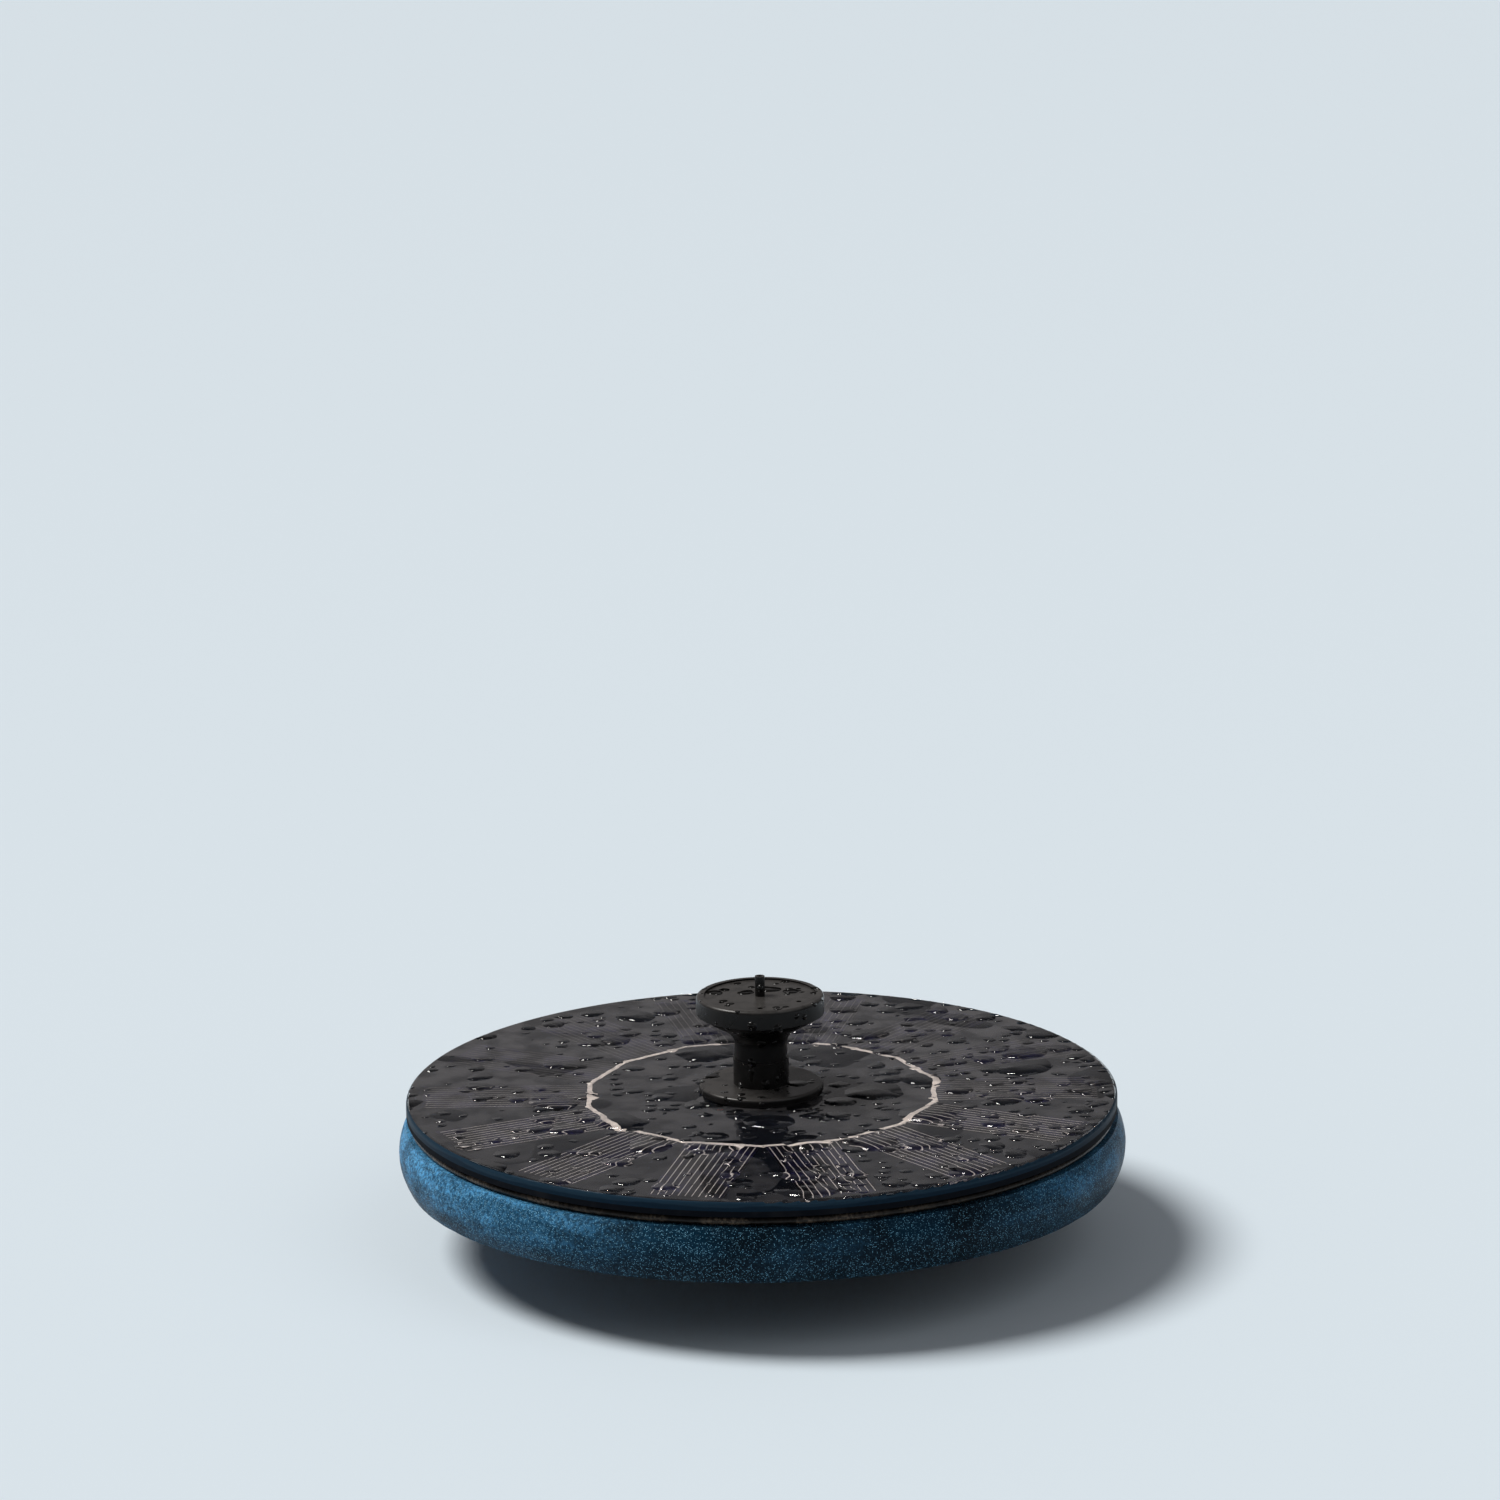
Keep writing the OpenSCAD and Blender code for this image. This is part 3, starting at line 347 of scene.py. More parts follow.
def makeWetPlastic(name, colour, roughness):
    # satin black plastic, lighter on top from dust and painted light, with drops standing on it
    material, tree, at = newMaterial(name)
    skin = place(tree, grainGroup, {
        "Vector": at, "Colour": rgba(colour), "Grain": wetPlastic["grain"],
        "Roughness": roughness, "Depth": wetPlastic["depth"]})
    # faces that look up are lighter: dried lime and painted light
    limedAndLit = place(tree, limeAndLitTopGroup, {
        "Vector": at, "Normal": addNode(tree, "ShaderNodeTexCoord").outputs["Normal"],
        "Colour": skin["Colour"], "Lime And Lit Top": rgba(wetPlastic["limeAndLitTop"]), "Patch": wetPlastic["patch"]})
    height, wet = together(tree, [placeDrops(tree, dropGroup, at, size)
                                  for size in wetPlastic["drops"]])
    dry = sums(tree, "SUBTRACT", 1.0, wet)
    relief = sums(tree, "ADD", height, sums(tree, "MULTIPLY", skin["Height"], dry))
    show(tree, principled(tree, {
        "Base Color": mixColour(tree, wet, limedAndLit["Colour"], skin["Colour"]),
        "Roughness": remap(tree, wet, 0.0, 1.0, skin["Roughness"], wetPlastic["wetRoughness"],
                           "LINEAR"),
        "Specular IOR Level": wetPlastic["specular"], "Normal": bump(tree, relief)}))
    return material


trayFinish = dict(
    base=(0.006, 0.005, 0.0045), lip=(0.12, 0.092, 0.068), lipRamp=(78.0 * mm, 78.4 * mm),
    patch=11.0 * mm, strand=0.7 * mm, detail=3.0, patchRamp=(0.44, 0.62, 0.06, 1.0),
    strandRamp=(0.38, 0.62, 0.2, 1.0), sideRamp=(0.0, 50 * mm, 1.0, 0.2),
    shineRamp=(0.3, 0.7, 0.12, 0.3), ragged=0.12 * mm, specular=0.15)


def makeTray():
    # wet black tray whose lip is brown, partly dried lime and algae and partly painted glints of
    # light, most of it on the -X side where the light comes from
    material, tree, at = newMaterial("wetTray")
    lip = remap(tree, axisDistance(tree, at), *trayFinish["lipRamp"])
    patch = patches(tree, at, trayFinish["patch"], trayFinish["detail"])
    strand = patches(tree, at, trayFinish["strand"], trayFinish["detail"])
    there = sums(tree, "MULTIPLY", remap(tree, patch, *trayFinish["patchRamp"]),
                 remap(tree, strand, *trayFinish["strandRamp"]))
    # the brown lip patches thin out towards +X: painted glints on the side the light comes from,
    # as well as stains
    there = sums(tree, "MULTIPLY", there, remap(tree, split(tree, at)[0], *trayFinish["sideRamp"]))
    ragged = sums(tree, "MULTIPLY", strand, trayFinish["ragged"])
    show(tree, principled(tree, {
        "Base Color": mixColour(tree, sums(tree, "MULTIPLY", lip, there),
                                rgba(trayFinish["base"]), rgba(trayFinish["lip"])),
        "Roughness": remap(tree, patch, *trayFinish["shineRamp"]),
        "Specular IOR Level": trayFinish["specular"],
        "Normal": bump(tree, sums(tree, "MULTIPLY", ragged, lip))}))
    return material


# the face that lies on the cells is lower than seeBelow
# drift is how much the share of drops grows in each metre towards +X
resinFinish = dict(
    clear=(0.93, 0.94, 0.97), roughness=0.03, bending=1.5, topRamp=(0.7, 0.95),
    seeBelow=33.6 * mm, shade=(0.9, 0.9, 0.92),
    drops=(dict(spacing=17.0 * mm, share=0.72, smallest=0.12, largest=0.4, slope=1.7,
                flatness=3.4),
           dict(spacing=8.2 * mm, share=0.64, smallest=0.16, largest=0.42, slope=1.7,
                flatness=2.6),
           dict(spacing=4.2 * mm, share=0.45, smallest=0.14, largest=0.42, slope=0.95,
                flatness=2.0)),
    drift=3.5,
    puddles={"Size": 22.0 * mm, "Level": 0.58, "Shore": 0.13, "Depth": 0.22 * mm},
    sway=12.0 * mm, swayDepth=0.03 * mm,
    rim=dict(radius=79.6 * mm, cover=0.97, low=(0.003, 0.014, 0.028), high=(0.01, 0.028, 0.048),
             lineRamp=(34.3 * mm, 34.8 * mm), lineWave=1.6 * mm, roughness=0.5, specular=0.04),
    film=dict(colour=(0.3, 0.29, 0.3), size=7.0 * mm, detail=4.0,
              patchRamp=(0.36, 0.62, 0.3, 1.0), behindRamp=(-60 * mm, 30 * mm, 0.085, 0.19)))


def makeResin():
    # clear resin, opaque at its rim, with standing water and a thin dried film on its top
    material, tree, at = newMaterial("castResin")
    rim, film = resinFinish["rim"], resinFinish["film"]
    x, y, z = split(tree, at)
    facing = addNode(tree, "ShaderNodeTexCoord").outputs["Normal"]
    topFace = remap(tree, split(tree, facing)[2], *resinFinish["topRamp"])
    outside = sums(tree, "GREATER_THAN", axisDistance(tree, at), rim["radius"])
    drift = sums(tree, "MULTIPLY", x, resinFinish["drift"])
    waters = [place(tree, puddleGroup, {"Vector": at, **resinFinish["puddles"]})]
    for size in resinFinish["drops"]:
        waters.append(placeDrops(tree, flatDropGroup, at, size, drift))
    height, wet = together(tree, waters)
    sway = patches(tree, at, resinFinish["sway"])
    height = sums(tree, "ADD", sums(tree, "MULTIPLY", height, topFace),
                  sums(tree, "MULTIPLY", sway, resinFinish["swayDepth"]))
    normal = bump(tree, height)
    clear = principled(tree, {
        "Base Color": rgba(resinFinish["clear"]), "Roughness": resinFinish["roughness"],
        "IOR": resinFinish["bending"], "Transmission Weight": 1.0, "Normal": normal})
    wave = sums(tree, "ADD", z, sums(tree, "MULTIPLY", sway, rim["lineWave"]))
    rimColour = mixColour(tree, remap(tree, wave, *rim["lineRamp"]), rgba(rim["low"]),
                          rgba(rim["high"]))
    # between the drops a thin film of lime has dried, more of it behind the head
    patch = patches(tree, at, film["size"], film["detail"])
    dried = sums(tree, "MULTIPLY", remap(tree, patch, *film["patchRamp"]),
                 remap(tree, y, *film["behindRamp"]))
    filmColour = mixColour(tree, wet, rgba(film["colour"]), rgba((0, 0, 0)))
    opaque = principled(tree, {
        "Base Color": mixColour(tree, outside, filmColour, rimColour),
        "Roughness": rim["roughness"], "Specular IOR Level": rim["specular"],
        "Normal": normal})
    cover = sums(tree, "MAXIMUM", sums(tree, "MULTIPLY", outside, rim["cover"]),
                 sums(tree, "MULTIPLY", dried, topFace))
    body = mixShaders(tree, cover, clear, opaque)
    # the underside lets everything through, because the resin wets the cells that it is cast on
    low = sums(tree, "LESS_THAN", z, resinFinish["seeBelow"])
    under = sums(tree, "MULTIPLY", low, sums(tree, "SUBTRACT", 1.0, outside))
    shadow = addNode(tree, "ShaderNodeLightPath").outputs["Is Shadow Ray"]
    glassy = addNode(tree, "ShaderNodeBsdfTransparent", {"Color": rgba(resinFinish["shade"])})
    show(tree, mixShaders(tree, sums(tree, "MAXIMUM", under, shadow), body, glassy.outputs[0]))
    return material


cellFinish = dict(low=(0.002, 0.002, 0.003), high=(0.006, 0.0055, 0.022), grain=7.0 * mm,
                  detail=3.0, tintRamp=(0.4, 0.68), etchScale=9000.0, etchDepth=0.003 * mm,
                  roughness=0.35, specular=0.15)


def makeCell():
    # near-black silicon with a violet cast in patches
    material, tree, at = newMaterial("siliconCell")
    tint = patches(tree, at, cellFinish["grain"], cellFinish["detail"])
    etch = noise(tree, at, cellFinish["etchScale"])["Fac"]
    show(tree, principled(tree, {
        "Base Color": mixColour(tree, remap(tree, tint, *cellFinish["tintRamp"]),
                                rgba(cellFinish["low"]), rgba(cellFinish["high"])),
        "Roughness": cellFinish["roughness"], "Specular IOR Level": cellFinish["specular"],
        "Normal": bump(tree, sums(tree, "MULTIPLY", etch, cellFinish["etchDepth"]))}))
    return material


silver = dict(scale=900.0, detail=3.0, dullRamp=(0.42, 0.66), dullRoughness=0.2,
              relief=0.05 * mm, behindRamp=(-28 * mm, 18 * mm), shadeBehindColour=(0.02, 0.02, 0.022))
printedSilver = dict(name="printedSilver", colour=(0.74, 0.67, 0.6), roughness=0.4, wear=0.3,
                     metallic=0.4, shadeBehind=0.9)


def makeSilver(name, colour, roughness, wear, metallic, shadeBehind):
    # printed or tinned silver, patchy where it has dulled, and darker behind the head with painted
    # shade
    material, tree, at = newMaterial(name)
    patch = noise(tree, at, silver["scale"], silver["detail"])["Fac"]
    dull = remap(tree, patch, *silver["dullRamp"])
    worn = [channel * (1 - wear) for channel in colour]
    shade = mixColour(tree, dull, rgba(colour), rgba(worn))
    # painted shade: the silver darkens towards +Y, behind the head
    far = remap(tree, split(tree, at)[1], *silver["behindRamp"], 0.0, shadeBehind)
    rough = remap(tree, dull, 0.0, 1.0, roughness, roughness + silver["dullRoughness"], "LINEAR")
    show(tree, principled(tree, {
        "Base Color": mixColour(tree, far, shade, rgba(silver["shadeBehindColour"])),
        "Metallic": metallic, "Roughness": rough,
        "Normal": bump(tree, sums(tree, "MULTIPLY", patch, silver["relief"]))}))
    return material


# a scale is the number of repeats in a metre
foamFinish = dict(
    deep=(0.0006, 0.005, 0.01), skin=(0.001, 0.018, 0.038), skinRamp=(0.4, 0.62),
    fadedAndLit=(0.085, 0.33, 0.62), heightRamp=(18.5 * mm, 26.5 * mm, 0.2, 1.0),
    leftRamp=(-74 * mm, -10 * mm, 1.0, 0.0), rightRamp=(40 * mm, 80 * mm, 0.0, 0.5),
    broadScale=55.0, fineScale=1400.0, detail=3.0, fineRamp=(0.38, 0.64, 0.35, 1.0),
    streakScale=38.0, streakRamp=(0.48, 0.66, 0.0, 0.12),
    bandScale=75.0, bandDetail=4.0, bandFlatness=(1.0, 1.0, 3.5),
    bandRamp=(0.42, 0.58, 0.42, 1.0), shineRamp=(0.3, 0.7, 0.5, 0.3), specular=0.06,
    cells=dict(size=0.25 * mm, glintFleck=(0.28, 0.66, 0.92), glintFleckShare=0.46, fadedAndLitMore=0.35,
               broadRamp=(0.35, 0.65, -0.1, 0.06), edgeRamp=(0.5, 0.1), pitRamp=(0.0, 0.6),
               pit=0.07 * mm))


def makeFoamSkin(tree, at, broad):
    # gives how faded and lit the skin is, most on its -X side and near its top, and its colour;
    # this lightening is partly fading and partly painted light
    x, _, z = split(tree, at)
    high = remap(tree, z, *foamFinish["heightRamp"])
    litSide = sums(tree, "MAXIMUM", remap(tree, x, *foamFinish["leftRamp"]),
                 remap(tree, x, *foamFinish["rightRamp"]))
    streak = noise(tree, at, foamFinish["streakScale"])["Fac"]
    litSide = sums(tree, "MAXIMUM", litSide, remap(tree, streak, *foamFinish["streakRamp"]))
    # level bands and fine specks break up the part that is faded and lit with painted light
    level = vectorSums(tree, "MULTIPLY", at, foamFinish["bandFlatness"])
    band = noise(tree, level, foamFinish["bandScale"], foamFinish["bandDetail"])["Fac"]
    fine = noise(tree, at, foamFinish["fineScale"], foamFinish["detail"])["Fac"]
    patchy = sums(tree, "MULTIPLY", remap(tree, band, *foamFinish["bandRamp"]),
                  remap(tree, fine, *foamFinish["fineRamp"]))
    # painted light: the skin is lighter on its -X side, its +X end and near its top, as well as
    # faded
    fadeAndLight = sums(tree, "MULTIPLY", sums(tree, "MULTIPLY", litSide, high), patchy)
    # the skin is darker towards its bottom
    share = sums(tree, "MULTIPLY", remap(tree, broad, *foamFinish["skinRamp"]), high)
    skin = mixColour(tree, share, rgba(foamFinish["deep"]), rgba(foamFinish["skin"]))
    return fadeAndLight, mixColour(tree, fadeAndLight, skin, rgba(foamFinish["fadedAndLit"]))


def makeFoam():
    # closed-cell foam: dark wet skin, lighter in patches from fading and painted light, with
    # flecks of painted glint where cut cells catch light
    material, tree, at = newMaterial("closedCellFoam")
    cut = foamFinish["cells"]
    broad = noise(tree, at, foamFinish["broadScale"], foamFinish["detail"])["Fac"]
    fadeAndLight, skin = makeFoamSkin(tree, at, broad)
    cells = addNode(tree, "ShaderNodeTexVoronoi", {"Vector": at, "Scale": 1 / cut["size"]}).outputs
    pick = addNode(tree, "ShaderNodeSeparateColor", {"Color": cells["Color"]}).outputs[0]
    bright = sums(tree, "ADD", pick, remap(tree, broad, *cut["broadRamp"], "LINEAR"))
    # more painted glints where the skin is faded and lit
    bright = sums(tree, "ADD", bright, sums(tree, "MULTIPLY", fadeAndLight, cut["fadedAndLitMore"]))
    # the flecks are painted glints of light on the cut cells
    glintFleck = sums(tree, "MULTIPLY", remap(tree, bright, cut["glintFleckShare"], 1.0),
                 remap(tree, cells["Distance"], *cut["edgeRamp"]))
    pits = sums(tree, "MULTIPLY", remap(tree, cells["Distance"], *cut["pitRamp"]), cut["pit"])
    show(tree, principled(tree, {
        "Base Color": mixColour(tree, glintFleck, skin, rgba(cut["glintFleck"])),
        "Roughness": remap(tree, broad, *foamFinish["shineRamp"]),
        "Specular IOR Level": foamFinish["specular"], "Normal": bump(tree, pits)}))
    return material


winding = dict(name="windingWire", colour=(0.62, 0.24, 0.08), shadow=0.35, turns=520.0, stray=0.6,
               metallic=0.6, roughness=0.3, rib=0.08 * mm)


def makeWire():
    # turns of enamelled wire, as fine ribs round each winding
    material, tree, at = newMaterial(winding["name"])
    turns = addNode(tree, "ShaderNodeTexWave", {
        "Vector": at, "Scale": winding["turns"], "Distortion": winding["stray"]},
        wave_type="BANDS", bands_direction="DIAGONAL").outputs["Fac"]
    between = [channel * winding["shadow"] for channel in winding["colour"]]
    show(tree, principled(tree, {
        "Base Color": mixColour(tree, turns, rgba(between), rgba(winding["colour"])),
        "Metallic": winding["metallic"], "Roughness": winding["roughness"],
        "Normal": bump(tree, sums(tree, "MULTIPLY", turns, winding["rib"]))}))
    return material


finishes = {node: makeMoulded(**values) for node, values in mouldedFinishes.items()}
finishes.update({
    "resin_cover": makeResin(),
    "cell_fingers": makeSilver(**printedSilver),
    "solar_cells": makeCell(),
    "float_tray": makeTray(),
    "retaining_collar": makeWetPlastic(**headPlastic),
    "spray_body": makeWetPlastic(**stemPlastic),
    "stator_coils": makeWire(),
})
sameFinish = {
    "spray_cap": "retaining_collar", "can_lid": "pump_can", "volute_cover": "pump_can",
    "strainer": "pump_can", "coil_ends": "stator_coils", "negative_lead": "board_parts",
    "cap_seal": "collar_gasket", "lid_seal": "collar_gasket", "riser_seal": "collar_gasket",
    "lead_grommets": "collar_gasket", "upper_bush": "collar_gasket",
    "lower_bush": "collar_gasket", "cover_seal": "collar_gasket", "cover_screws": "lid_screws",
}


def dress(node, material):
    mesh = nodes[node].data
    mesh.materials.clear()
    mesh.materials.append(material)


for node, material in finishes.items():
    dress(node, material)
for node, like in sameFinish.items():
    dress(node, finishes[like])
print("finishes on the packed nodes")

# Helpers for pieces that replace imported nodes


def newObject(name, data):
    piece = bpy.data.objects.new(name, data)
    bpy.context.scene.collection.objects.link(piece)
    return piece


def shadeSmooth(mesh, angle):
    mesh.shade_smooth()
    mesh.set_sharp_from_angle(angle=math.radians(angle))


def lathe(profile, segments):
    # profile is a closed list of (radius, height), turned once round +Z
    maker = bmesh.new()
    rings = []
    for i in range(segments):
        turn = 2 * math.pi * i / segments
        rings.append([maker.verts.new((r * math.cos(turn), r * math.sin(turn), z))
                      for r, z in profile])
    for i, ring in enumerate(rings):
        after = rings[(i + 1) % segments]
        for j in range(len(profile)):
            k = (j + 1) % len(profile)
            maker.faces.new((ring[j], after[j], after[k], ring[k]))
    bmesh.ops.recalc_face_normals(maker, faces=maker.faces)
    mesh = bpy.data.meshes.new("lathed")
    maker.to_mesh(mesh)
    maker.free()
    return mesh


def geometryTree(name, inputs):
    # a Geometry Nodes tree whose named inputs start at the values that are given
    tree = bpy.data.node_groups.new(name, "GeometryNodeTree")
    tree.interface.new_socket("Geometry", in_out="INPUT", socket_type="NodeSocketGeometry")
    tree.interface.new_socket("Geometry", in_out="OUTPUT", socket_type="NodeSocketGeometry")
    for label, value in inputs.items():
        kind = "NodeSocketInt" if isinstance(value, int) else "NodeSocketFloat"
        socket = tree.interface.new_socket(label, in_out="INPUT", socket_type=kind)
        socket.default_value = value
    return tree, tree.nodes.new("NodeGroupInput").outputs, tree.nodes.new("NodeGroupOutput")


def finishTree(tree, geometry, end, material):
    real = addNode(tree, "GeometryNodeRealizeInstances", {0: geometry})
    paint = addNode(tree, "GeometryNodeSetMaterial", {"Geometry": real.outputs[0],
                                                      "Material": material})
    feed(tree, end.inputs[0], paint.outputs[0])
    return tree


def applyTree(piece, tree, values):
    # sets each named input by its identifier, then keeps the result as a plain mesh
    modifier = piece.modifiers.new(tree.name, "NODES")
    modifier.node_group = tree
    for item in tree.interface.items_tree:
        if item.item_type == "SOCKET" and item.in_out == "INPUT" and item.name in values:
            modifier[item.identifier] = values[item.name]
    view = bpy.context.evaluated_depsgraph_get()
    mesh = bpy.data.meshes.new_from_object(piece.evaluated_get(view))
    mesh.name = piece.name
    piece.modifiers.remove(modifier)
    piece.data = mesh


# Foam float

foamRing = dict(crown=2.0 * mm, edge=0.7 * mm, boreGap=0.2 * mm, segments=420, sideSteps=26,
                flatSteps=16, ripple=0.28 * mm, rippleSize=9.0 * mm, dimple=0.1 * mm,
                dimpleSize=1.6 * mm, detail=2.0, seed=4.0, smoothAngle=50.0)


def foamProfile():
    # the ring's section: flat under and over, bowed outside, with softened corners
    low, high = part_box("foam_ring")
    outer, bottom, top = high.x, low.z, high.z
    crown, edge = foamRing["crown"], foamRing["edge"]
    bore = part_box("can_lid")[1].x + foamRing["boreGap"]
    half = (top - bottom) / 2
    bow = half * half / (2 * crown) + crown / 2
    side = []
    for i in range(foamRing["sideSteps"] + 1):
        z = (half - edge) * (2 * i / foamRing["sideSteps"] - 1)
        side.append((outer - bow + math.sqrt(bow * bow - z * z), bottom + half + z))
    flats = foamRing["flatSteps"]
    reach = outer - crown - edge - bore
    under = [(bore + reach * i / flats, bottom) for i in range(flats + 1)]
    over = [(r, top) for r, _ in reversed(under)]
    soft = edge * (1 - math.sqrt(0.5))
    lowCorner = (side[0][0] - soft, bottom + soft)
    highCorner = (side[-1][0] - soft, top - soft)
    return under + [lowCorner] + side + [highCorner] + over


def makeFoamTree(material, inputs):
    # dents the skin inwards along its normals, so that the ring stays within its packed size
    tree, given, end = geometryTree("foamSkin", inputs)
    where = addNode(tree, "GeometryNodeInputPosition").outputs[0]
    normal = addNode(tree, "GeometryNodeInputNormal").outputs[0]
    dents = []
    for kind in ("Ripple", "Dimple"):
        wave = addNode(tree, "ShaderNodeTexNoise", {
            "Vector": where, "W": given["Seed"], "Detail": foamRing["detail"],
            "Scale": sums(tree, "DIVIDE", 1.0, given[kind + " Size"])}, noise_dimensions="4D")
        dents.append(sums(tree, "MULTIPLY", wave.outputs[0], given[kind]))
    inwards = sums(tree, "MULTIPLY", sums(tree, "ADD", *dents), -1.0)
    move = addNode(tree, "GeometryNodeSetPosition", {
        "Geometry": given["Geometry"], "Offset": scaleVector(tree, normal, inwards)})
    return finishTree(tree, move.outputs[0], end, material)


def makeFoamRing():
    piece = newObject("floatFoam", lathe(foamProfile(), foamRing["segments"]))
    inputs = {"Ripple": foamRing["ripple"], "Ripple Size": foamRing["rippleSize"],
              "Dimple": foamRing["dimple"], "Dimple Size": foamRing["dimpleSize"],
              "Seed": foamRing["seed"]}
    applyTree(piece, makeFoamTree(makeFoam(), inputs), inputs)
    shadeSmooth(piece.data, foamRing["smoothAngle"])
    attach(piece, hull)
    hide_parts("foam_ring")


makeFoamRing()
print("foam float made")

# Ribbon that joins the cells

ribbon = dict(sides=14, apothem=38.75 * mm, width=1.1 * mm, thickness=0.2 * mm, step=0.4 * mm,
              wander=0.2 * mm, wanderSize=3.0 * mm, wanderReach=(4.0, 4.0, 0.0),
              blob=0.85 * mm, blobHeight=0.3 * mm, blobSegments=16, blobRings=8, blobDepth=0.8,
              gap=2.6 * mm, smoothAngle=35.0,
              finish=dict(name="tinnedRibbon", colour=(0.98, 0.86, 0.74), roughness=0.3,
                          wear=0.25, metallic=0.25, shadeBehind=0.0))


def makePolygon(tree, given):
    # a polygon of wire that begins and ends at the back
    ring = addNode(tree, "GeometryNodeCurvePrimitiveCircle", {
        "Resolution": given["Sides"], "Radius": given["Radius"]})
    lift = addNode(tree, "ShaderNodeCombineXYZ", {2: given["Height"]})
    turned = addNode(tree, "GeometryNodeTransform", {
        "Geometry": ring.outputs[0], "Rotation": (0, 0, math.pi / 2),
        "Translation": lift.outputs[0]})
    return turned.outputs[0]


def makeStrip(tree, given, polygon):
    # a flat strip along the polygon, wandering a little, with a gap where the cells' string ends
    fine = addNode(tree, "GeometryNodeResampleCurve", {
        "Curve": polygon, "Length": given["Step"]}, mode="LENGTH").outputs[0]
    opened = addNode(tree, "GeometryNodeSetSplineCyclic", {
        "Geometry": fine, "Cyclic": False}).outputs[0]
    whole = addNode(tree, "GeometryNodeCurveLength", {0: opened}).outputs[0]
    cut = addNode(tree, "GeometryNodeTrimCurve", {
        "Curve": opened, 4: 0.0, 5: sums(tree, "SUBTRACT", whole, given["Gap"])}, mode="LENGTH")
    where = addNode(tree, "GeometryNodeInputPosition").outputs[0]
    away = stray(tree, where, sums(tree, "DIVIDE", 1.0, given["Wander Size"]))
    level = vectorSums(tree, "MULTIPLY", away, ribbon["wanderReach"])
    move = addNode(tree, "GeometryNodeSetPosition", {
        "Geometry": cut.outputs[0], "Offset": scaleVector(tree, level, given["Wander"])})
    section = addNode(tree, "GeometryNodeCurvePrimitiveQuadrilateral", {
        "Width": given["Width"], "Height": given["Thickness"]})
    strip = addNode(tree, "GeometryNodeCurveToMesh", {
        "Curve": move.outputs[0], "Profile Curve": section.outputs[0], "Fill Caps": True})
    return strip.outputs[0]


def makeSolder(tree, given, polygon):
    # a flattened blob of solder on each corner
    ball = addNode(tree, "GeometryNodeMeshUVSphere", {
        "Segments": ribbon["blobSegments"], "Rings": ribbon["blobRings"],
        "Radius": given["Blob"]})
    shape = addNode(tree, "ShaderNodeCombineXYZ", {
        0: 1.0, 1: ribbon["blobDepth"],
        2: sums(tree, "DIVIDE", given["Blob Height"], given["Blob"])})
    flat = addNode(tree, "GeometryNodeTransform", {
        "Geometry": ball.outputs["Mesh"], "Scale": shape.outputs[0]})
    spots = addNode(tree, "GeometryNodeInstanceOnPoints", {
        "Points": polygon, "Instance": flat.outputs[0]})
    return spots.outputs[0]


def makeRibbonTree(material, inputs):
    tree, given, end = geometryTree("ribbonPath", inputs)
    polygon = makePolygon(tree, given)
    both = addNode(tree, "GeometryNodeJoinGeometry")
    feed(tree, both.inputs[0], makeStrip(tree, given, polygon))
    feed(tree, both.inputs[0], makeSolder(tree, given, polygon))
    return finishTree(tree, both.outputs[0], end, material)


def makeRibbon():
    low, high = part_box("bus_ribbon")
    piece = newObject("busRibbon", bpy.data.meshes.new("empty"))
    corner = ribbon["apothem"] / math.cos(math.pi / ribbon["sides"])
    inputs = {"Sides": ribbon["sides"], "Radius": corner, "Width": ribbon["width"],
              "Thickness": ribbon["thickness"], "Step": ribbon["step"],
              "Wander": ribbon["wander"], "Wander Size": ribbon["wanderSize"],
              "Height": (low.z + high.z) / 2, "Blob": ribbon["blob"],
              "Blob Height": ribbon["blobHeight"], "Gap": ribbon["gap"]}
    applyTree(piece, makeRibbonTree(makeSilver(**ribbon["finish"]), inputs), inputs)
    shadeSmooth(piece.data, ribbon["smoothAngle"])
    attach(piece, hull)
    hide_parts("bus_ribbon")


makeRibbon()
print("ribbon made")

# Stage, light and camera

stage = dict(floorColour=(0.7, 0.79, 0.86), floorHalf=9.0, floorRoughness=0.6, floorSpecular=0.2)


def makeFloor():
    maker = bmesh.new()
    bmesh.ops.create_grid(maker, x_segments=1, y_segments=1, size=stage["floorHalf"])
    mesh = bpy.data.meshes.new("floor")
    maker.to_mesh(mesh)
    maker.free()
    material, tree, _ = newMaterial("paleFloor")
    show(tree, principled(tree, {
        "Base Color": rgba(stage["floorColour"]), "Roughness": stage["floorRoughness"],
        "Specular IOR Level": stage["floorSpecular"]}))
    mesh.materials.append(material)
    newObject("floor", mesh)


# heights and sides are parts of a unit direction
room = dict(tint=(1.0, 0.97, 0.98), levelRamp=(0.2, 0.8, 0.19, 0.12),
            sideRamp=(-0.5, 0.5, 1.6, 0.06), bandRamp=(0.04, 0.2))


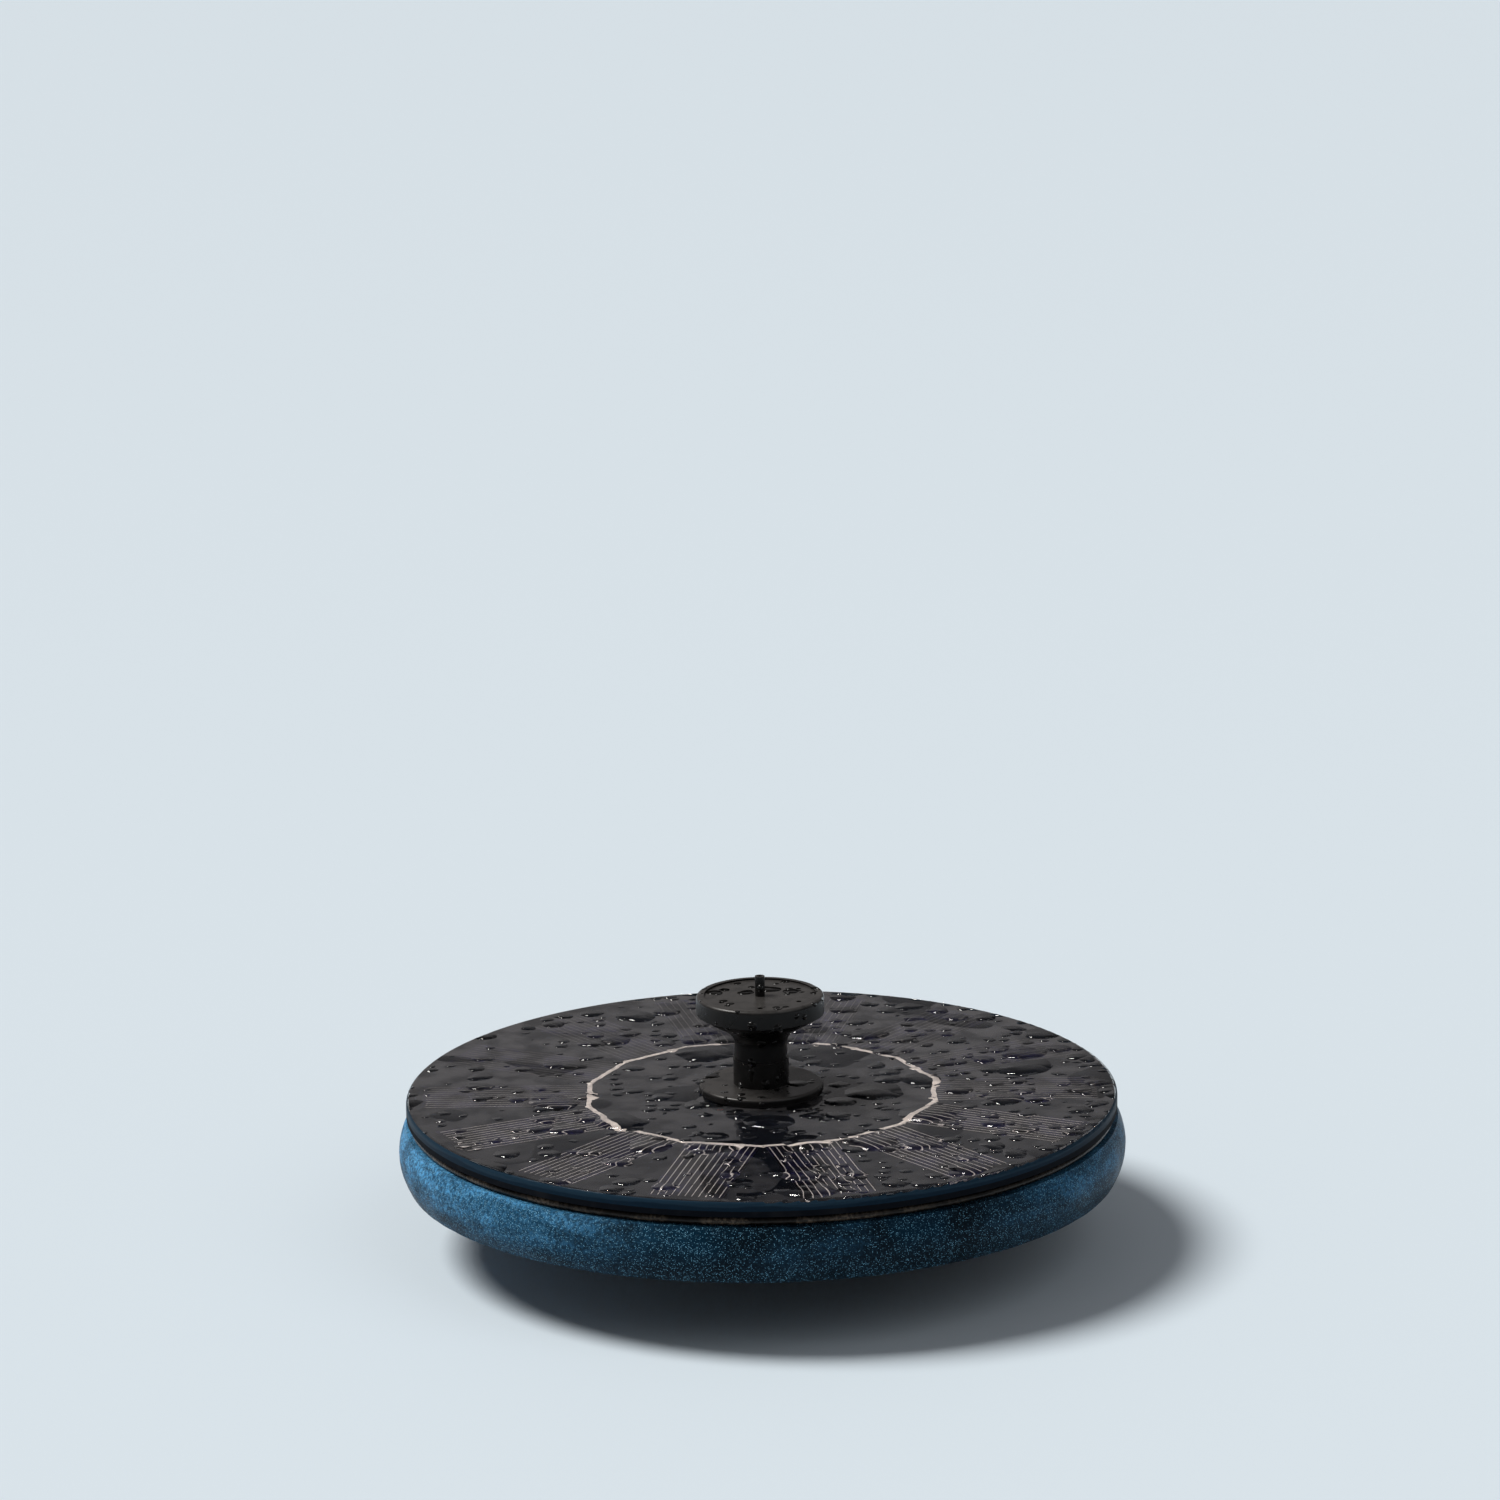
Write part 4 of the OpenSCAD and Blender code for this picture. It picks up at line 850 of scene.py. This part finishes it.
def makeWorld():
    # light from all round, lowest overhead, with a band at the horizon that is brighter at -X
    world = bpy.data.worlds.new("softRoom")
    bpy.context.scene.world = world
    world.use_nodes = True
    tree = world.node_tree
    tree.nodes.clear()
    x, _, z = split(tree, addNode(tree, "ShaderNodeTexCoord").outputs["Generated"])
    side = remap(tree, x, *room["sideRamp"])
    level = sums(tree, "MULTIPLY", remap(tree, z, *room["levelRamp"]),
                 remap(tree, z, *room["bandRamp"], side, 1.0))
    light = addNode(tree, "ShaderNodeBackground", {"Color": rgba(room["tint"]),
                                                   "Strength": level})
    # what the camera itself sees beyond the floor is as pale as the floor
    backdrop = addNode(tree, "ShaderNodeBackground", {"Color": rgba(stage["floorColour"])})
    seen = addNode(tree, "ShaderNodeLightPath").outputs["Is Camera Ray"]
    whole = mixShaders(tree, seen, light.outputs[0], backdrop.outputs[0])
    addNode(tree, "ShaderNodeOutputWorld", {"Surface": whole})


lamps = dict(
    sun=dict(aim=(-0.66, 0.1, 1.0), spread=24.0, strength=3.1, colour=(1.0, 0.98, 0.95)),
    fill=dict(aim=(0.7, -0.5, 0.9), spread=50.0, strength=0.3, colour=(0.94, 0.97, 1.0)),
)


def makeLamp(name, aim, spread, strength, colour):
    # a sun with a wide disc lights the whole floor evenly and casts soft shadows
    lamp = bpy.data.lights.new(name, "SUN")
    lamp.energy = strength
    lamp.angle = math.radians(spread)
    lamp.color = colour
    holder = newObject(name, lamp)
    holder.rotation_euler = (-Vector(aim)).to_track_quat("-Z", "Y").to_euler()


# distances in metres, angles in degrees, lens and sensor in mm, target and frame in pixels
camera = dict(distance=1.47, elevation=17.3, roll=0.9, lens=156.5, sensor=36.0, clipStart=0.01,
              frame=1500, targetX=761.5, targetY=1090.2)


def makeCamera():
    # looks from the front, with the panel's middle where the picture has it
    lens = bpy.data.cameras.new("camera")
    lens.lens = camera["lens"]
    lens.sensor_width = camera["sensor"]
    lens.clip_start = camera["clipStart"]
    eye = newObject("camera", lens)
    target = Vector((0, 0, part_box("resin_cover")[1].z))
    slope = math.radians(camera["elevation"])
    back = Vector((0, -math.cos(slope), math.sin(slope)))
    focal = camera["lens"] / camera["sensor"] * camera["frame"]
    half = camera["frame"] / 2
    seen = Vector((camera["targetX"] - half, half - camera["targetY"], -focal)).normalized()
    aim = seen.rotation_difference(Vector((0, 0, -1))).to_matrix()
    level = (-back).to_track_quat("-Z", "Y").to_matrix()
    roll = Matrix.Rotation(math.radians(-camera["roll"]), 3, "Z")
    move = Matrix.Translation(target + back * camera["distance"])
    eye.matrix_world = move @ (level @ roll @ aim).to_4x4()
    bpy.context.scene.camera = eye


makeFloor()
makeWorld()
for name, values in lamps.items():
    makeLamp(name, **values)
makeCamera()
bpy.context.scene.view_settings.view_transform = "Standard"
print("stage, light and camera made")

bpy.context.view_layer.update()
